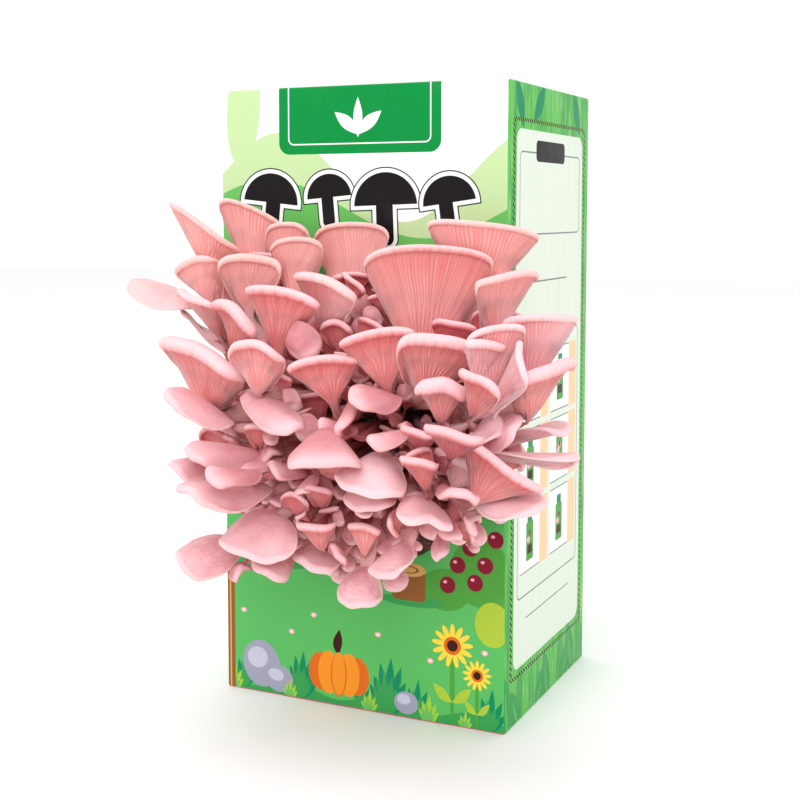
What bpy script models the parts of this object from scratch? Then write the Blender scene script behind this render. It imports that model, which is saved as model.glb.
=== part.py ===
"""Oyster mushroom grow kit: a closed cardboard carton, the growing block that fills it and
bulges out of its front window, and the mushrooms that stand out of that bulge.

Metres, +Z up. The window faces -Y, and the origin is the middle of the carton's underside.
"""

from dataclasses import dataclass
from math import atan2, cos, exp, hypot, pi, radians, sin, sqrt

import bmesh
import bpy
from mathutils import Quaternion, Vector
from mathutils.bvhtree import BVHTree

MM = 0.001
OBJECT_NAME = "oyster_mushroom_grow_kit"

# Carton
CARTON_WIDTH = 120 * MM
CARTON_DEPTH = 96 * MM
CARTON_HEIGHT = 240 * MM
BOARD = 1.5 * MM
CREASE_RADIUS = 0.9 * MM
SLIT_WIDTH = 0.6 * MM
SLIT_DEPTH = 0.9 * MM
FRONT = -CARTON_DEPTH / 2

# Window in the front wall, an upright oval
WINDOW_X = 6 * MM
WINDOW_Z = 105 * MM
WINDOW_WIDTH = 88 * MM
WINDOW_HEIGHT = 92 * MM

# Growing block: fills the carton and bulges through the window
GAP = 0.3 * MM
HEADROOM = 12 * MM
BLOCK_CORNER = 6 * MM
BULGE = 20 * MM
BULGE_LUMPS = 1.3 * MM

# Mushrooms: the rim is full from RIM_FULL ahead of the hub, and starts RIM_START behind the widest
# place, both as cosines of the turn from the tip
STEM_SPREAD = 0.6
STEM_RADIUS = 0.75
STEM_WAIST = 0.7
ROOT_REACH = 0.9
ROOT_PITCH = 6.4 * MM
ROOT_ROUNDS = 60
LEAST_LEAN = radians(15)
MOST_LEAN = radians(95)
SQUARENESS = 0.08
RIM_START = 0.4
RIM_FULL = 0.97
THIN_EDGE = 0.3
CUT_GAP = 0.5 * MM
LARGE = 17
TIDY_STEPS = ((radians(6), 0.1 * MM), (radians(6), 0.03 * MM), (radians(4), 0), (0, 0))

CARTON_PRINT = (0.16, 0.55, 0.14, 1.0)
BLOCK_BROWN = (0.055, 0.022, 0.018, 1.0)
CAP_PINK = (0.83, 0.42, 0.42, 1.0)


@dataclass(frozen=True)
class Mushroom:
    """One cap and its stem. The hub is where the gills meet, and the tip is the far point of the
    cap's edge: both are (across, out of the carton's front, up) in millimetres.

    width is the cap's greatest width, and roll turns the cap about the line from hub to tip. lip is
    the radius of its rolled edge, back how far it reaches behind the hub, and stem the stem's
    thickness. arch lifts the middle of the top, and droop lowers the sides, or lifts them below 0.
    ruffle and ruffles wave the edge, notch splits the tip, taper narrows the cap towards the hub,
    skew leans it to one side, and deep is how far its gills run down into the stem."""

    name: str
    hub: tuple
    tip: tuple
    width: float
    roll: float = 0.0
    lip: float = 2.6
    back: float = 4.5
    stem: float = 4.0
    arch: float = 0.0
    droop: float = 2.0
    ruffle: float = 0.8
    ruffles: int = 3
    notch: float = 0.0
    taper: float = 0.9
    skew: float = 0.0
    deep: float = 0.0


MUSHROOMS = (
    # Across the middle, the largest first
    Mushroom("great_fan", (38, 27, 136), (44, 33, 182), 44, 19, lip=1.9, stem=5.8, droop=-1.5, ruffle=1.2,
             taper=1.3),
    Mushroom("great_left_visor", (-41, 30, 124), (-36, 53, 147), 38, -13, lip=3.6, stem=5.8, droop=1, deep=7),
    Mushroom("centre_pale_cap", (35, 56, 109), (37, 69, 104), 24, 4, lip=1.9, back=8, arch=2, droop=3,
             taper=0.18),
    Mushroom("centre_left_tongue", (16, 56, 119), (26, 76, 113), 25, 30, lip=1.9, arch=1.6, droop=3,
             taper=0.7),
    Mushroom("centre_broad_fan", (43, 36, 136), (58, 49, 154), 30, 15, lip=2.9, stem=5.2, droop=5,
             taper=0.75, skew=0.1, deep=5),
    Mushroom("left_hood", (-10, 40, 144), (-2, 52, 168), 27, -2, lip=2.4, stem=5.2, droop=1.5, taper=1.4),
    Mushroom("heart_cap", (49, 52, 98), (60, 66, 95), 19, 24, lip=1.9, arch=1.6, notch=0.1, taper=0.36),
    Mushroom("right_long_fan", (68, 44, 103), (82, 55, 114), 29, -6, lip=2.2, stem=5.8, droop=-1, deep=3),
    Mushroom("lower_left_tongue", (-15, 46, 95), (-29, 76, 100), 20, -42, lip=1.9, arch=1.7, ruffle=2,
             taper=0.3),
    Mushroom("lower_left_cap", (-12, 50, 83), (-13, 64, 76), 29, -18, lip=1.9, back=8, arch=2.4, droop=3,
             taper=0.12),
    Mushroom("left_tongue", (-20, 46, 107), (-33, 66, 112), 16, -48, lip=1.9, arch=1.6, droop=3, taper=0.3),
    Mushroom("lower_left_ball", (-35, 44, 70), (-44, 57, 68), 18, -74, lip=1.9, back=9, arch=2.8, droop=3,
             taper=0.12),
    Mushroom("low_right_cap", (36, 44, 77), (32, 53, 72), 17, -30, lip=1.9, back=6, arch=1.7, droop=3,
             taper=0.12),
    Mushroom("lowest_cap", (20, 38, 63), (22, 45, 57), 16, 55, lip=1.9, back=7, arch=2.2, droop=3,
             taper=0.12),
    Mushroom("left_pale_cap", (-17, 50, 128), (8, 60, 121), 14, 66, lip=1.9, arch=1.6, taper=0.2),
    # Right side
    Mushroom("right_wing", (78, 30, 133), (86, 38, 161), 24, 14, lip=1.9, stem=5.2, droop=-1.5, taper=1.4,
             skew=0.2),
    Mushroom("right_corner_fan", (78, 39, 131), (93, 48, 146), 24, 46, lip=2.9, stem=5.2, droop=-1.5,
             taper=1.05, deep=4),
    Mushroom("right_upper_fan", (62, 28, 149), (75, 37, 174), 27, 52, lip=1.7, stem=5.2, droop=-1.5,
             taper=1.4),
    Mushroom("right_inner_hood", (66, 45, 137), (72, 51, 153), 14, 10, lip=2.2, stem=3, droop=-1.5,
             taper=1.4),
    Mushroom("right_mid_fan", (69, 42, 132), (75, 50, 157), 19, 16, lip=1.7, stem=4.4, droop=-1.5, taper=1.4,
             skew=0.3),
    Mushroom("right_blade", (75, 48, 129), (88, 58, 149), 16, -70, lip=1.5, stem=3, droop=-1.5, taper=1.4),
    Mushroom("right_inner_blade", (71, 53, 130), (75, 64, 143), 16, -27, lip=2.2, stem=3, droop=-1.5,
             taper=0.75, deep=2),
    Mushroom("centre_visor", (53, 43, 134), (60, 57, 140), 19, 16, lip=3.3, taper=0.48, deep=10),
    Mushroom("right_double_visor", (65, 61, 118), (72, 77, 128), 19, 0, lip=2.2, stem=4.4, droop=1.5,
             taper=1.2),
    Mushroom("right_diagonal_cap", (64, 52, 118), (72, 42, 127), 14, 58, lip=1.9, stem=3, taper=0.24),
    Mushroom("right_pale_cap", (69, 42, 118), (80, 46, 127), 13, 88, lip=1.9, stem=3, arch=1, taper=0.24),
    Mushroom("right_thin_fan", (65, 32, 115), (93, 29, 123), 12, 46, lip=1.6, stem=3, droop=-1.5),
    Mushroom("right_thin_blade", (68, 42, 114), (96, 27, 112), 10, 14, lip=1.6, stem=3, taper=0.48),
    Mushroom("right_tongue", (70, 44, 97), (90, 47, 101), 13, 66, lip=1.9, arch=1.4, taper=0.2),
    Mushroom("right_low_band", (59, 40, 104), (61, 49, 114), 18, -25, lip=2.2, stem=3.2, droop=-1.5,
             taper=0.75, deep=2),
    Mushroom("right_small_cap", (63, 59, 105), (75, 75, 108), 13, 20, lip=1.9, stem=3, taper=0.24),
    # Upper back row
    Mushroom("back_ruffled_fan", (3, 9, 148), (1, 9, 189), 29, 14, lip=1.5, stem=5.8, droop=-1.5, ruffle=1.8,
             ruffles=5, taper=1.4),
    Mushroom("top_left_fan", (-39, 10, 163), (-38, 14, 195), 25, 24, lip=1.5, stem=5.2, droop=-1.5,
             taper=1.4, skew=-0.45),
    Mushroom("top_right_wing", (53, 14, 161), (60, 22, 190), 38, 16, lip=1.5, stem=5.8, droop=-1.5,
             taper=1.4),
    Mushroom("back_left_fan", (-15, 19, 159), (-13, 24, 184), 20, 10, lip=1.5, stem=4.4, droop=-1.5),
    Mushroom("back_left_peak", (-23, 12, 164), (-23, 13, 189), 18, 14, lip=1.5, stem=3, droop=-1.5),
    # Left side
    Mushroom("far_left_blade", (-51, 24, 172), (-49, 31, 190), 25, 6, lip=1.6, stem=3, droop=-1.5, taper=1.2,
             skew=-0.7),
    Mushroom("left_arch_fan", (-32, 25, 156), (-27, 32, 178), 24, 10, lip=2.2, stem=5.2, droop=3),
    Mushroom("left_upper_fan", (-45, 28, 160), (-52, 35, 176), 20, 10, lip=1.9, stem=3.5, droop=-1.5),
    Mushroom("left_broad_fan", (6, 30, 150), (10, 44, 172), 27, -19, lip=2.3, stem=5.2, taper=1.05),
    Mushroom("left_slant_hood", (-26, 36, 147), (-22, 50, 160), 23, -27, lip=2.9, stem=5.2, droop=1.5,
             deep=4),
    Mushroom("left_mid_fan", (-38, 31, 148), (-45, 46, 165), 21, -22, lip=1.9, stem=4.4, droop=0.5,
             skew=-0.1),
    Mushroom("far_left_cap", (-57, 33, 159), (-79, 33, 168), 16, -66, lip=1.9, arch=1.1, taper=0.24),
    Mushroom("left_round_fan", (-13, 48, 135), (-8, 61, 150), 20, 7, lip=2.2, taper=0.48, deep=6),
    Mushroom("left_pointed_cap", (-31, 46, 119), (-46, 59, 131), 15, -60, lip=1.9, stem=3.2, arch=1.1,
             taper=0.12),
    Mushroom("left_shaded_cap", (-35, 46, 103), (-42, 62, 104), 15, -46, lip=1.9, arch=1.7, droop=3,
             taper=0.24),
    Mushroom("left_thin_cap", (-10, 62, 104), (-18, 76, 106), 13, -40, lip=1.9, stem=3, arch=0.6, taper=0.24),
    # Centre
    Mushroom("centre_slant_fan", (33, 42, 134), (33, 53, 155), 26, 16, lip=2.3, stem=5.2, droop=1, taper=1.3),
    Mushroom("centre_left_fan", (13, 44, 129), (14, 55, 145), 26, 20, lip=2.2, stem=5.2, droop=-0.5,
             taper=1.3),
    Mushroom("centre_small_visor", (37, 50, 131), (27, 59, 134), 14, -62, lip=1.9, stem=3.4, arch=1.2,
             taper=0.2),
    Mushroom("centre_side_cap", (22, 46, 130), (21, 60, 119), 10, 38, lip=1.9, stem=3.2, arch=1.2, taper=0.2),
    Mushroom("centre_low_hood", (54, 57, 105), (56, 69, 116), 13, 6, lip=1.9, stem=3, droop=-1.5, taper=1.4),
    Mushroom("centre_low_fan", (50, 50, 115), (52, 60, 124), 13, -16, lip=1.9, stem=3, droop=-1.5, taper=1.4),
    # Along the bottom
    Mushroom("bottom_left_cap", (-13, 36, 76), (-6, 56, 67), 16, 0, lip=1.9, stem=3.2, arch=1.7, taper=0.24),
    Mushroom("bottom_flat_cap", (1, 30, 73), (5, 46, 70), 17, 0, lip=1.9, stem=3.2, arch=1.1, taper=0.24),
    Mushroom("heart_lobe", (53, 40, 91), (63, 54, 88), 9, 10, lip=1.6, stem=3, arch=1.1, taper=0.24),
    Mushroom("low_funnel", (23, 40, 75), (26, 47, 87), 12, 10, lip=1.9, back=4, stem=3, droop=-1.5,
             taper=1.4),
    Mushroom("low_left_funnel", (8, 43, 76), (11, 55, 88), 14, 10, lip=1.9, back=4, stem=3, droop=-1.5,
             taper=1.4),
)


def link(obj, collection_name):
    """Moves an object into a collection of the scene, which is made the first time."""
    collection = bpy.data.collections.get(collection_name)
    if collection is None:
        collection = bpy.data.collections.new(collection_name)
        bpy.context.scene.collection.children.link(collection)
    for current in list(obj.users_collection):
        current.objects.unlink(obj)
    collection.objects.link(obj)
    return obj


def dress(obj, colour, roughness):
    """Gives an object its own material."""
    material = bpy.data.materials.new(obj.name)
    material.use_nodes = True
    shader = material.node_tree.nodes["Principled BSDF"]
    shader.inputs["Base Color"].default_value = colour
    shader.inputs["Roughness"].default_value = roughness
    shader.inputs["Metallic"].default_value = 0.0
    obj.data.materials.clear()
    obj.data.materials.append(material)
    return obj


def as_cutter(obj):
    """Turns an object into a guide that isn't part of the model."""
    obj.hide_render = True
    obj.display_type = "WIRE"
    return link(obj, "cutters")


def box(name, low, high):
    """A box between two corners, with its scale already applied."""
    low, high = Vector(low), Vector(high)
    bpy.ops.mesh.primitive_cube_add(size=1, location=(low + high) / 2)
    obj = bpy.context.active_object
    obj.name = name
    obj.scale = high - low
    bpy.ops.object.transform_apply(location=False, rotation=False, scale=True)
    return obj


def bevel(obj, width, segments):
    """Rounds every sharp edge of an object."""
    modifier = obj.modifiers.new("round edges", "BEVEL")
    modifier.width = width
    modifier.segments = segments
    modifier.limit_method = "ANGLE"
    return obj


def boolean(obj, other, operation):
    """Adds an exact Boolean of one object with another."""
    modifier = obj.modifiers.new(f"{operation.lower()} {other.name}", "BOOLEAN")
    modifier.operation = operation
    modifier.object = other
    modifier.solver = "EXACT"


def bake(obj):
    """Replaces an object's mesh by its mesh with all modifiers applied."""
    graph = bpy.context.evaluated_depsgraph_get()
    mesh = bpy.data.meshes.new_from_object(obj.evaluated_get(graph))
    obj.modifiers.clear()
    obj.data = mesh
    return obj


# Carton ------------------------------------------------------------------------------------------


def window_cutter():
    """The oval that is cut out of the front wall."""
    bpy.ops.mesh.primitive_cylinder_add(
        vertices=32, radius=0.5, depth=4 * BOARD, location=(WINDOW_X, FRONT, WINDOW_Z),
        rotation=(pi / 2, 0, 0))
    cutter = bpy.context.active_object
    cutter.name = "window_cutter"
    cutter.scale = (WINDOW_WIDTH, WINDOW_HEIGHT, 1)
    bpy.ops.object.transform_apply(location=False, rotation=False, scale=True)
    return as_cutter(cutter)


def slit_cutters():
    """The open joints round the tucked top panel: along its front edge and down both ends."""
    half_width, half_depth = CARTON_WIDTH / 2, CARTON_DEPTH / 2
    floor, ceiling = CARTON_HEIGHT - SLIT_DEPTH, CARTON_HEIGHT + BOARD
    inset = CREASE_RADIUS + SLIT_WIDTH
    ends = [(side * (half_width - inset), side * (half_width - CREASE_RADIUS)) for side in (-1, 1)]
    for number, (one, other) in enumerate(ends):
        yield box(f"end_slit_{number}", (min(one, other), -half_depth - BOARD, floor),
                  (max(one, other), half_depth - BLOCK_CORNER, ceiling))
    yield box("front_slit", (-half_width - BOARD, -half_depth + CREASE_RADIUS, floor),
              (half_width + BOARD, -half_depth + inset, ceiling))


def make_carton():
    """The folded carton: four walls, top and bottom, hollow, with the oval window."""
    half_width, half_depth = CARTON_WIDTH / 2, CARTON_DEPTH / 2
    carton = box("carton", (-half_width, -half_depth, 0), (half_width, half_depth, CARTON_HEIGHT))
    bevel(carton, CREASE_RADIUS, 2)
    room = box("room_cutter", (BOARD - half_width, BOARD - half_depth, BOARD),
               (half_width - BOARD, half_depth - BOARD, CARTON_HEIGHT - BOARD))
    boolean(carton, as_cutter(room), "DIFFERENCE")
    boolean(carton, window_cutter(), "DIFFERENCE")
    for cutter in slit_cutters():
        boolean(carton, as_cutter(cutter), "DIFFERENCE")
    return dress(link(bake(carton), OBJECT_NAME), CARTON_PRINT, 0.45)


# Growing block -----------------------------------------------------------------------------------


def lump(x, z):
    """How far the bulge stands proud at a place on it, between -1 and 1."""
    return (sin(310 * x + 1.3) * cos(270 * z + 0.4) + 0.6 * sin(520 * x - 430 * z)) / 1.6


def make_bulge(name, grown):
    """The lumpy oval bulge that stands out of the window, grown by a distance all round."""
    bpy.ops.mesh.primitive_uv_sphere_add(segments=20, ring_count=10, radius=1)
    bulge = bpy.context.active_object
    bulge.name = name
    reach = Vector((WINDOW_WIDTH / 2 - GAP, BULGE, WINDOW_HEIGHT / 2 - GAP))
    for vertex in bulge.data.vertices:
        across, out, up = vertex.co.x, vertex.co.y, vertex.co.z
        swell = 1 + BULGE_LUMPS * lump(across * reach.x, up * reach.z) * out * out / BULGE
        vertex.co = (across * (reach.x + grown), swell * out * (reach.y + grown),
                     up * (reach.z + grown))
    bulge.location = (WINDOW_X, FRONT + BOARD, WINDOW_Z)
    bpy.ops.object.transform_apply(location=True, rotation=False, scale=False)
    return bulge


def make_block():
    """The growing block: a rounded brick inside the carton, joined to its bulge."""
    half_width = CARTON_WIDTH / 2 - BOARD - GAP
    half_depth = CARTON_DEPTH / 2 - BOARD - GAP
    block = box("growing_block", (-half_width, -half_depth, BOARD + GAP),
                (half_width, half_depth, CARTON_HEIGHT - HEADROOM))
    bevel(block, BLOCK_CORNER, 2)
    boolean(block, as_cutter(make_bulge("bulge_joiner", 0)), "UNION")
    return dress(link(bake(block), OBJECT_NAME), BLOCK_BROWN, 0.9)


def on_bulge(x, z):
    """The place on the bulge at an x and z, and the direction that the bulge faces there."""
    across = (x - WINDOW_X) / (WINDOW_WIDTH / 2)
    up = (z - WINDOW_Z) / (WINDOW_HEIGHT / 2)
    out = sqrt(1 - across * across - up * up)
    facing = Vector((across / WINDOW_WIDTH, -out / (2 * BULGE), up / WINDOW_HEIGHT)).normalized()
    return Vector((x, FRONT + BOARD - BULGE * out, z)), facing


# Mushrooms ---------------------------------------------------------------------------------------


def place(across, out, up):
    """A point given in millimetres across, out of the carton's front and up."""
    return Vector((across * MM, FRONT - out * MM, up * MM))


def within_window(x, z):
    """The nearest place that a stem can grow from: in the window and clear of its rim."""
    across = (x - WINDOW_X) / (WINDOW_WIDTH / 2 * ROOT_REACH)
    up = (z - WINDOW_Z) / (WINDOW_HEIGHT / 2 * ROOT_REACH)
    shrink = 1 / max(1.0, hypot(across, up))
    return WINDOW_X + shrink * (x - WINDOW_X), WINDOW_Z + shrink * (z - WINDOW_Z)


def root_places():
    """The x and z that every stem grows from: each starts in line with its cap, drawn in to the
    middle of the window, and is then moved away from its neighbours until all have room."""
    middle = Vector((WINDOW_X + 8 * MM, 0, WINDOW_Z + 4 * MM))
    places = []
    for spec in MUSHROOMS:
        place_in_line = middle + (place(*spec.hub) - middle) * STEM_SPREAD
        places.append(within_window(place_in_line.x, place_in_line.z))
    for _ in range(ROOT_ROUNDS):
        for index, (x, z) in enumerate(places):
            for other in range(index):
                across, up = x - places[other][0], z - places[other][1]
                short = ROOT_PITCH - hypot(across, up)
                if short > 0:
                    push = 0.25 * short / max(hypot(across, up), 0.1 * MM)
                    x, z = x + across * push, z + up * push
                    places[other] = within_window(places[other][0] - across * push,
                                                  places[other][1] - up * push)
            places[index] = within_window(x, z)
    return places


class Growth:
    """The form of one mushroom: a cap about its hub, and a curved stem that runs up into it."""

    def __init__(self, spec, root, phase):
        self.spec = spec
        self.phase = phase
        self.hub = place(*spec.hub)
        tip = place(*spec.tip)
        self.forward = (tip - self.hub).normalized()
        hint = Vector((0, 1, 1)).normalized()
        hint.rotate(Quaternion(self.forward, radians(spec.roll)))
        self.up = (hint - self.forward * hint.dot(self.forward)).normalized()
        self.side = self.up.cross(self.forward)
        self.reach = (tip - self.hub).length
        self.widest = (sqrt(1 + 4 * spec.taper ** 2) - 1) / (2 * spec.taper)
        self.neck = STEM_RADIUS * spec.stem * MM
        self.core = self.neck + (1 + spec.deep) * MM
        end = self.hub - self.up * (self.neck + 0.4 * MM)
        start, facing = on_bulge(*root)
        start += facing * GAP
        course = end - start
        natural = atan2(course.dot(self.forward), course.dot(self.up))
        lean = min(max(natural, LEAST_LEAN), MOST_LEAN)
        arrive = self.up * cos(lean) + self.forward * sin(lean)
        bend = course.length / 3
        self.path = (start, start + facing * bend, end - arrive * bend, end)

    def outline(self, turn):
        """The cap's edge at a turn from its tip: (angle about the hub, distance from it)."""
        spec = self.spec
        back = spec.back * MM
        along = cos(turn) * (1 + SQUARENESS * sin(turn) ** 2)
        ahead = (self.reach - back) / 2 + (self.reach + back) / 2 * along
        full = sqrt(1 - self.widest ** 2) * exp(spec.taper * self.widest)
        aside = spec.width * MM / 2 * sin(turn) * exp(spec.taper * cos(turn)) / full
        ahead += spec.skew * aside
        front = 0.5 + 0.5 * cos(turn)
        lobes = 0.05 * sin(3 * turn + self.phase) + 0.03 * sin(5 * turn - 2 * self.phase)
        notch = spec.notch * max(0.0, cos(3 * turn)) ** 6
        return (atan2(aside, ahead),
                hypot(ahead, aside) * (1 + (lobes * sin(turn) ** 2 - notch) * front))

    def lip(self, turn):
        """Radius of the rolled edge, full at the tip and thin along the sides."""
        start = self.widest - RIM_START
        share = min(1.0, max(0.0, (cos(turn) - start) / (RIM_FULL - start)))
        return self.spec.lip * MM * (THIN_EDGE + (1 - THIN_EDGE) * share * share * (3 - 2 * share))

    def relief(self, turn, share):
        """Height of the cap's top over the plane of its edge, at a share of the way out."""
        spec = self.spec
        ruffle = spec.ruffle * sin(spec.ruffles * turn + self.phase) * share ** 3
        arch = spec.arch * (1 - share * share)
        droop = spec.droop * sin(turn) ** 2 * share ** 2
        return (arch - droop + ruffle) * MM

    def at(self, turn, distance, height):
        """A point at a distance from the hub towards a place on the cap's edge."""
        angle = self.outline(turn)[0]
        out = self.forward * cos(angle) + self.side * sin(angle)
        return self.hub + out * distance + self.up * height

    def under_point(self, turn, share):
        """A point on the gills, from the stem (0) to the rolled edge (1)."""
        lip = self.lip(turn)
        thin = lip * (0.5 if self.spec.width > LARGE else 0.9)
        thick = thin + (self.core - thin) * (1 - share) ** 1.3
        return self.at(turn, (self.outline(turn)[1] - lip) * share,
                       self.relief(turn, share) - thick)

    def lip_point(self, turn, round_edge, tuck):
        """A point round the rolled edge: 90 degrees is on top, and below 0 is underneath."""
        lip = self.lip(turn)
        radius = lip * (1 - tuck)
        return self.at(turn, self.outline(turn)[1] - lip + radius * cos(radians(round_edge)),
                       self.relief(turn, 1) - lip + radius * sin(radians(round_edge)))

    def top_point(self, turn, share):
        """A point on top of the cap, from its middle (0) to the rolled edge (1)."""
        return self.at(turn, (self.outline(turn)[1] - self.lip(turn)) * share,
                       self.relief(turn, share))

    def stem_point(self, angle, share):
        """A point on the stem, from the root (0) to the cap (1)."""
        first, second, third, last = self.path
        rest = 1 - share
        centre = (first * rest ** 3 + second * (3 * rest * rest * share)
                  + third * (3 * rest * share * share) + last * share ** 3)
        tangent = ((second - first) * rest * rest + (third - second) * (2 * rest * share)
                   + (last - third) * share * share).normalized()
        ahead = (self.side.cross(tangent)).normalized()
        radius = self.neck * (1 - (1 - STEM_WAIST) * rest)
        return centre + (ahead * cos(angle) + tangent.cross(ahead) * sin(angle)) * radius


def loft(name, rings, first, last):
    """A closed mesh through rings of points. Each end is closed to a point, or flat if None."""
    shape = bmesh.new()
    rows = [[shape.verts.new(point) for point in ring] for ring in rings]
    for row, following in zip(rows, rows[1:]):
        for column in range(len(row)):
            after = (column + 1) % len(row)
            shape.faces.new((row[column], row[after], following[after], following[column]))
    for row, tip in ((rows[0][::-1], first), (rows[-1], last)):
        if tip is None:
            shape.faces.new(row)
            continue
        centre = shape.verts.new(tip)
        for column in range(len(row)):
            shape.faces.new((row[column], row[(column + 1) % len(row)], centre))
    bmesh.ops.recalc_face_normals(shape, faces=shape.faces)
    bmesh.ops.triangulate(shape, faces=shape.faces)
    mesh = bpy.data.meshes.new(name)
    shape.to_mesh(mesh)
    shape.free()
    return bpy.data.objects.new(name, mesh)


def grow_cap(growth):
    """The cap alone."""
    spec = growth.spec
    columns = 12 if spec.width >= 30 else 10 if spec.width >= 20 else 8
    turns = [2 * pi * column / columns for column in range(columns)]
    rings = [[growth.under_point(turn, 1) for turn in turns],
             [growth.lip_point(turn, 20, 0) for turn in turns],
             [growth.top_point(turn, 1) for turn in turns]]
    if spec.width > LARGE:
        rings.insert(1, [growth.lip_point(turn, -40, 0.25) for turn in turns])
    if spec.arch:
        rings.append([growth.top_point(turn, 0.5) for turn in turns])
    return loft(spec.name, rings, growth.hub - growth.up * growth.core, growth.top_point(0, 0))


def grow_stem(growth):
    """The stem alone."""
    turns = [2 * pi * column / 6 for column in range(6)]
    rings = [[growth.stem_point(turn, share) for turn in turns] for share in (0, 0.5, 1)]
    return loft(f"{growth.spec.name}_stem", rings, None, None)


def tree_of(obj):
    """A search tree over an object's faces, in its own space."""
    mesh = obj.data
    return BVHTree.FromPolygons([v.co for v in mesh.vertices], [p.vertices for p in mesh.polygons])


def swollen(obj):
    """A cutter of an object's shape, larger all round by the gap between neighbours."""
    copy = bpy.data.objects.new(f"{obj.name}_cutter", obj.data.copy())
    for vertex, normal in zip(copy.data.vertices, [v.normal.copy() for v in obj.data.vertices]):
        vertex.co += normal * CUT_GAP
    return as_cutter(copy)


def largest_piece_only(shape):
    """Deletes all but the largest loose piece of a mesh."""
    pieces, unseen = [], set(shape.verts)
    while unseen:
        stack, piece = [unseen.pop()], set()
        while stack:
            vertex = stack.pop()
            piece.add(vertex)
            linked = {edge.other_vert(vertex) for edge in vertex.link_edges} & unseen
            unseen -= linked
            stack.extend(linked)
        pieces.append(piece)
    pieces.sort(key=len)
    for piece in pieces[:-1]:
        bmesh.ops.delete(shape, geom=list(piece), context="VERTS")


def tidy(obj):
    """Keeps the largest piece of an object and joins its nearly flat faces. The strongest joining
    that leaves the mesh closed is the one that is used."""
    for flat_enough, near_enough in TIDY_STEPS:
        shape = bmesh.new()
        shape.from_mesh(obj.data)
        largest_piece_only(shape)
        bmesh.ops.remove_doubles(shape, verts=shape.verts, dist=near_enough)
        bmesh.ops.dissolve_limit(
            shape, angle_limit=flat_enough, verts=shape.verts, edges=shape.edges)
        bmesh.ops.triangulate(shape, faces=shape.faces)
        closed = all(edge.is_manifold for edge in shape.edges)
        closed = closed and all(vertex.is_manifold for vertex in shape.verts)
        if closed:
            shape.to_mesh(obj.data)
        shape.free()
        if closed:
            return


def make_mushrooms():
    """All mushrooms. Each is cut clear of the growing block and of those that come before it."""
    bulge = as_cutter(make_bulge("bulge_cutter", CUT_GAP / 2))
    cutters = [(bulge, tree_of(bulge))]
    for number, (spec, root) in enumerate(zip(MUSHROOMS, root_places())):
        growth = Growth(spec, root, 2.4 * number)
        mushroom = link(grow_cap(growth), OBJECT_NAME)
        stem = as_cutter(grow_stem(growth))
        trees = tree_of(mushroom), tree_of(stem)
        own = [swollen(mushroom), swollen(stem)]
        boolean(mushroom, stem, "UNION")
        for earlier, earlier_tree in cutters:
            if any(tree.overlap(earlier_tree) for tree in trees):
                boolean(mushroom, earlier, "DIFFERENCE")
        cutters += [(cutter, tree_of(cutter)) for cutter in own]
        tidy(bake(mushroom))
        mushroom.data.shade_smooth()
        mushroom.data.set_sharp_from_angle(angle=radians(50))
        dress(mushroom, CAP_PINK, 0.6)


def main():
    for obj in list(bpy.data.objects):
        bpy.data.objects.remove(obj, do_unlink=True)
    make_carton()
    make_block()
    make_mushrooms()


if __name__ == "__main__":
    main()
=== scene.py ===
"""Looks of a pink oyster mushroom grow kit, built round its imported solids.

Metres, +Z up. The carton's window faces -Y, and the origin is the middle of the carton's underside.
"""

import logging
from dataclasses import dataclass
from enum import Enum
from math import atan2, cos, exp, hypot, pi, radians, sin, sqrt
from random import Random

import bpy
import numpy as np
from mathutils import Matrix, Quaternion, Vector, noise


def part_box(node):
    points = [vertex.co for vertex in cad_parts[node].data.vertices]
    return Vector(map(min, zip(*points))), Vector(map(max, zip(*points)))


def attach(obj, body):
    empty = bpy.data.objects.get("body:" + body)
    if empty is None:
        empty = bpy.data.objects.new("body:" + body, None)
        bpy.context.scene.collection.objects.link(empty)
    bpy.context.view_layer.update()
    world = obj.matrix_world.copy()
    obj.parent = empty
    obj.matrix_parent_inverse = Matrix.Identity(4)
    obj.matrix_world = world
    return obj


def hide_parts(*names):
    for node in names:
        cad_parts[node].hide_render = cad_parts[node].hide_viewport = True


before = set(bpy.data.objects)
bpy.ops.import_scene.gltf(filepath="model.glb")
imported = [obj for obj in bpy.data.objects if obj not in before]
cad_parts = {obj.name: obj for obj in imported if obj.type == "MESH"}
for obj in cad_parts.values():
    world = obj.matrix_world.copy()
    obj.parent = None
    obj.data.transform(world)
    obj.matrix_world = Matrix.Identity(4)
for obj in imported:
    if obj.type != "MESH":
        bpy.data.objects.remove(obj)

LOG = logging.getLogger("grow_kit")
MM = 0.001
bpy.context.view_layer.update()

# What the solids give
CARTON_LOW, CARTON_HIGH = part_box("carton")
CARTON_WIDTH = CARTON_HIGH.x - CARTON_LOW.x
CARTON_DEPTH = CARTON_HIGH.y - CARTON_LOW.y
CARTON_HEIGHT = CARTON_HIGH.z
FRONT = CARTON_LOW.y
BOARD = 1.5 * MM

# Window in the front wall, and the growing block's bulge that fills it
WINDOW_X = 6 * MM
WINDOW_Z = 105 * MM
WINDOW_WIDTH = 88 * MM
WINDOW_HEIGHT = 92 * MM
BULGE = 20 * MM
BULGE_LUMPS = 1.3 * MM
GAP = 0.3 * MM

# Growth rules that the mushrooms share with their solids
FLUSH_MIDDLE = Vector((WINDOW_X + 8 * MM, 0, WINDOW_Z + 4 * MM))
STEM_SPREAD = 0.6
STEM_RADIUS = 0.75
STEM_WAIST = 0.7
ROOT_REACH = 0.9
ROOT_PITCH = 6.4 * MM
ROOT_ROUNDS = 60
ROOT_PUSH = 0.25
LEAST_LEAN = radians(15)
MOST_LEAN = radians(95)

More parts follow.
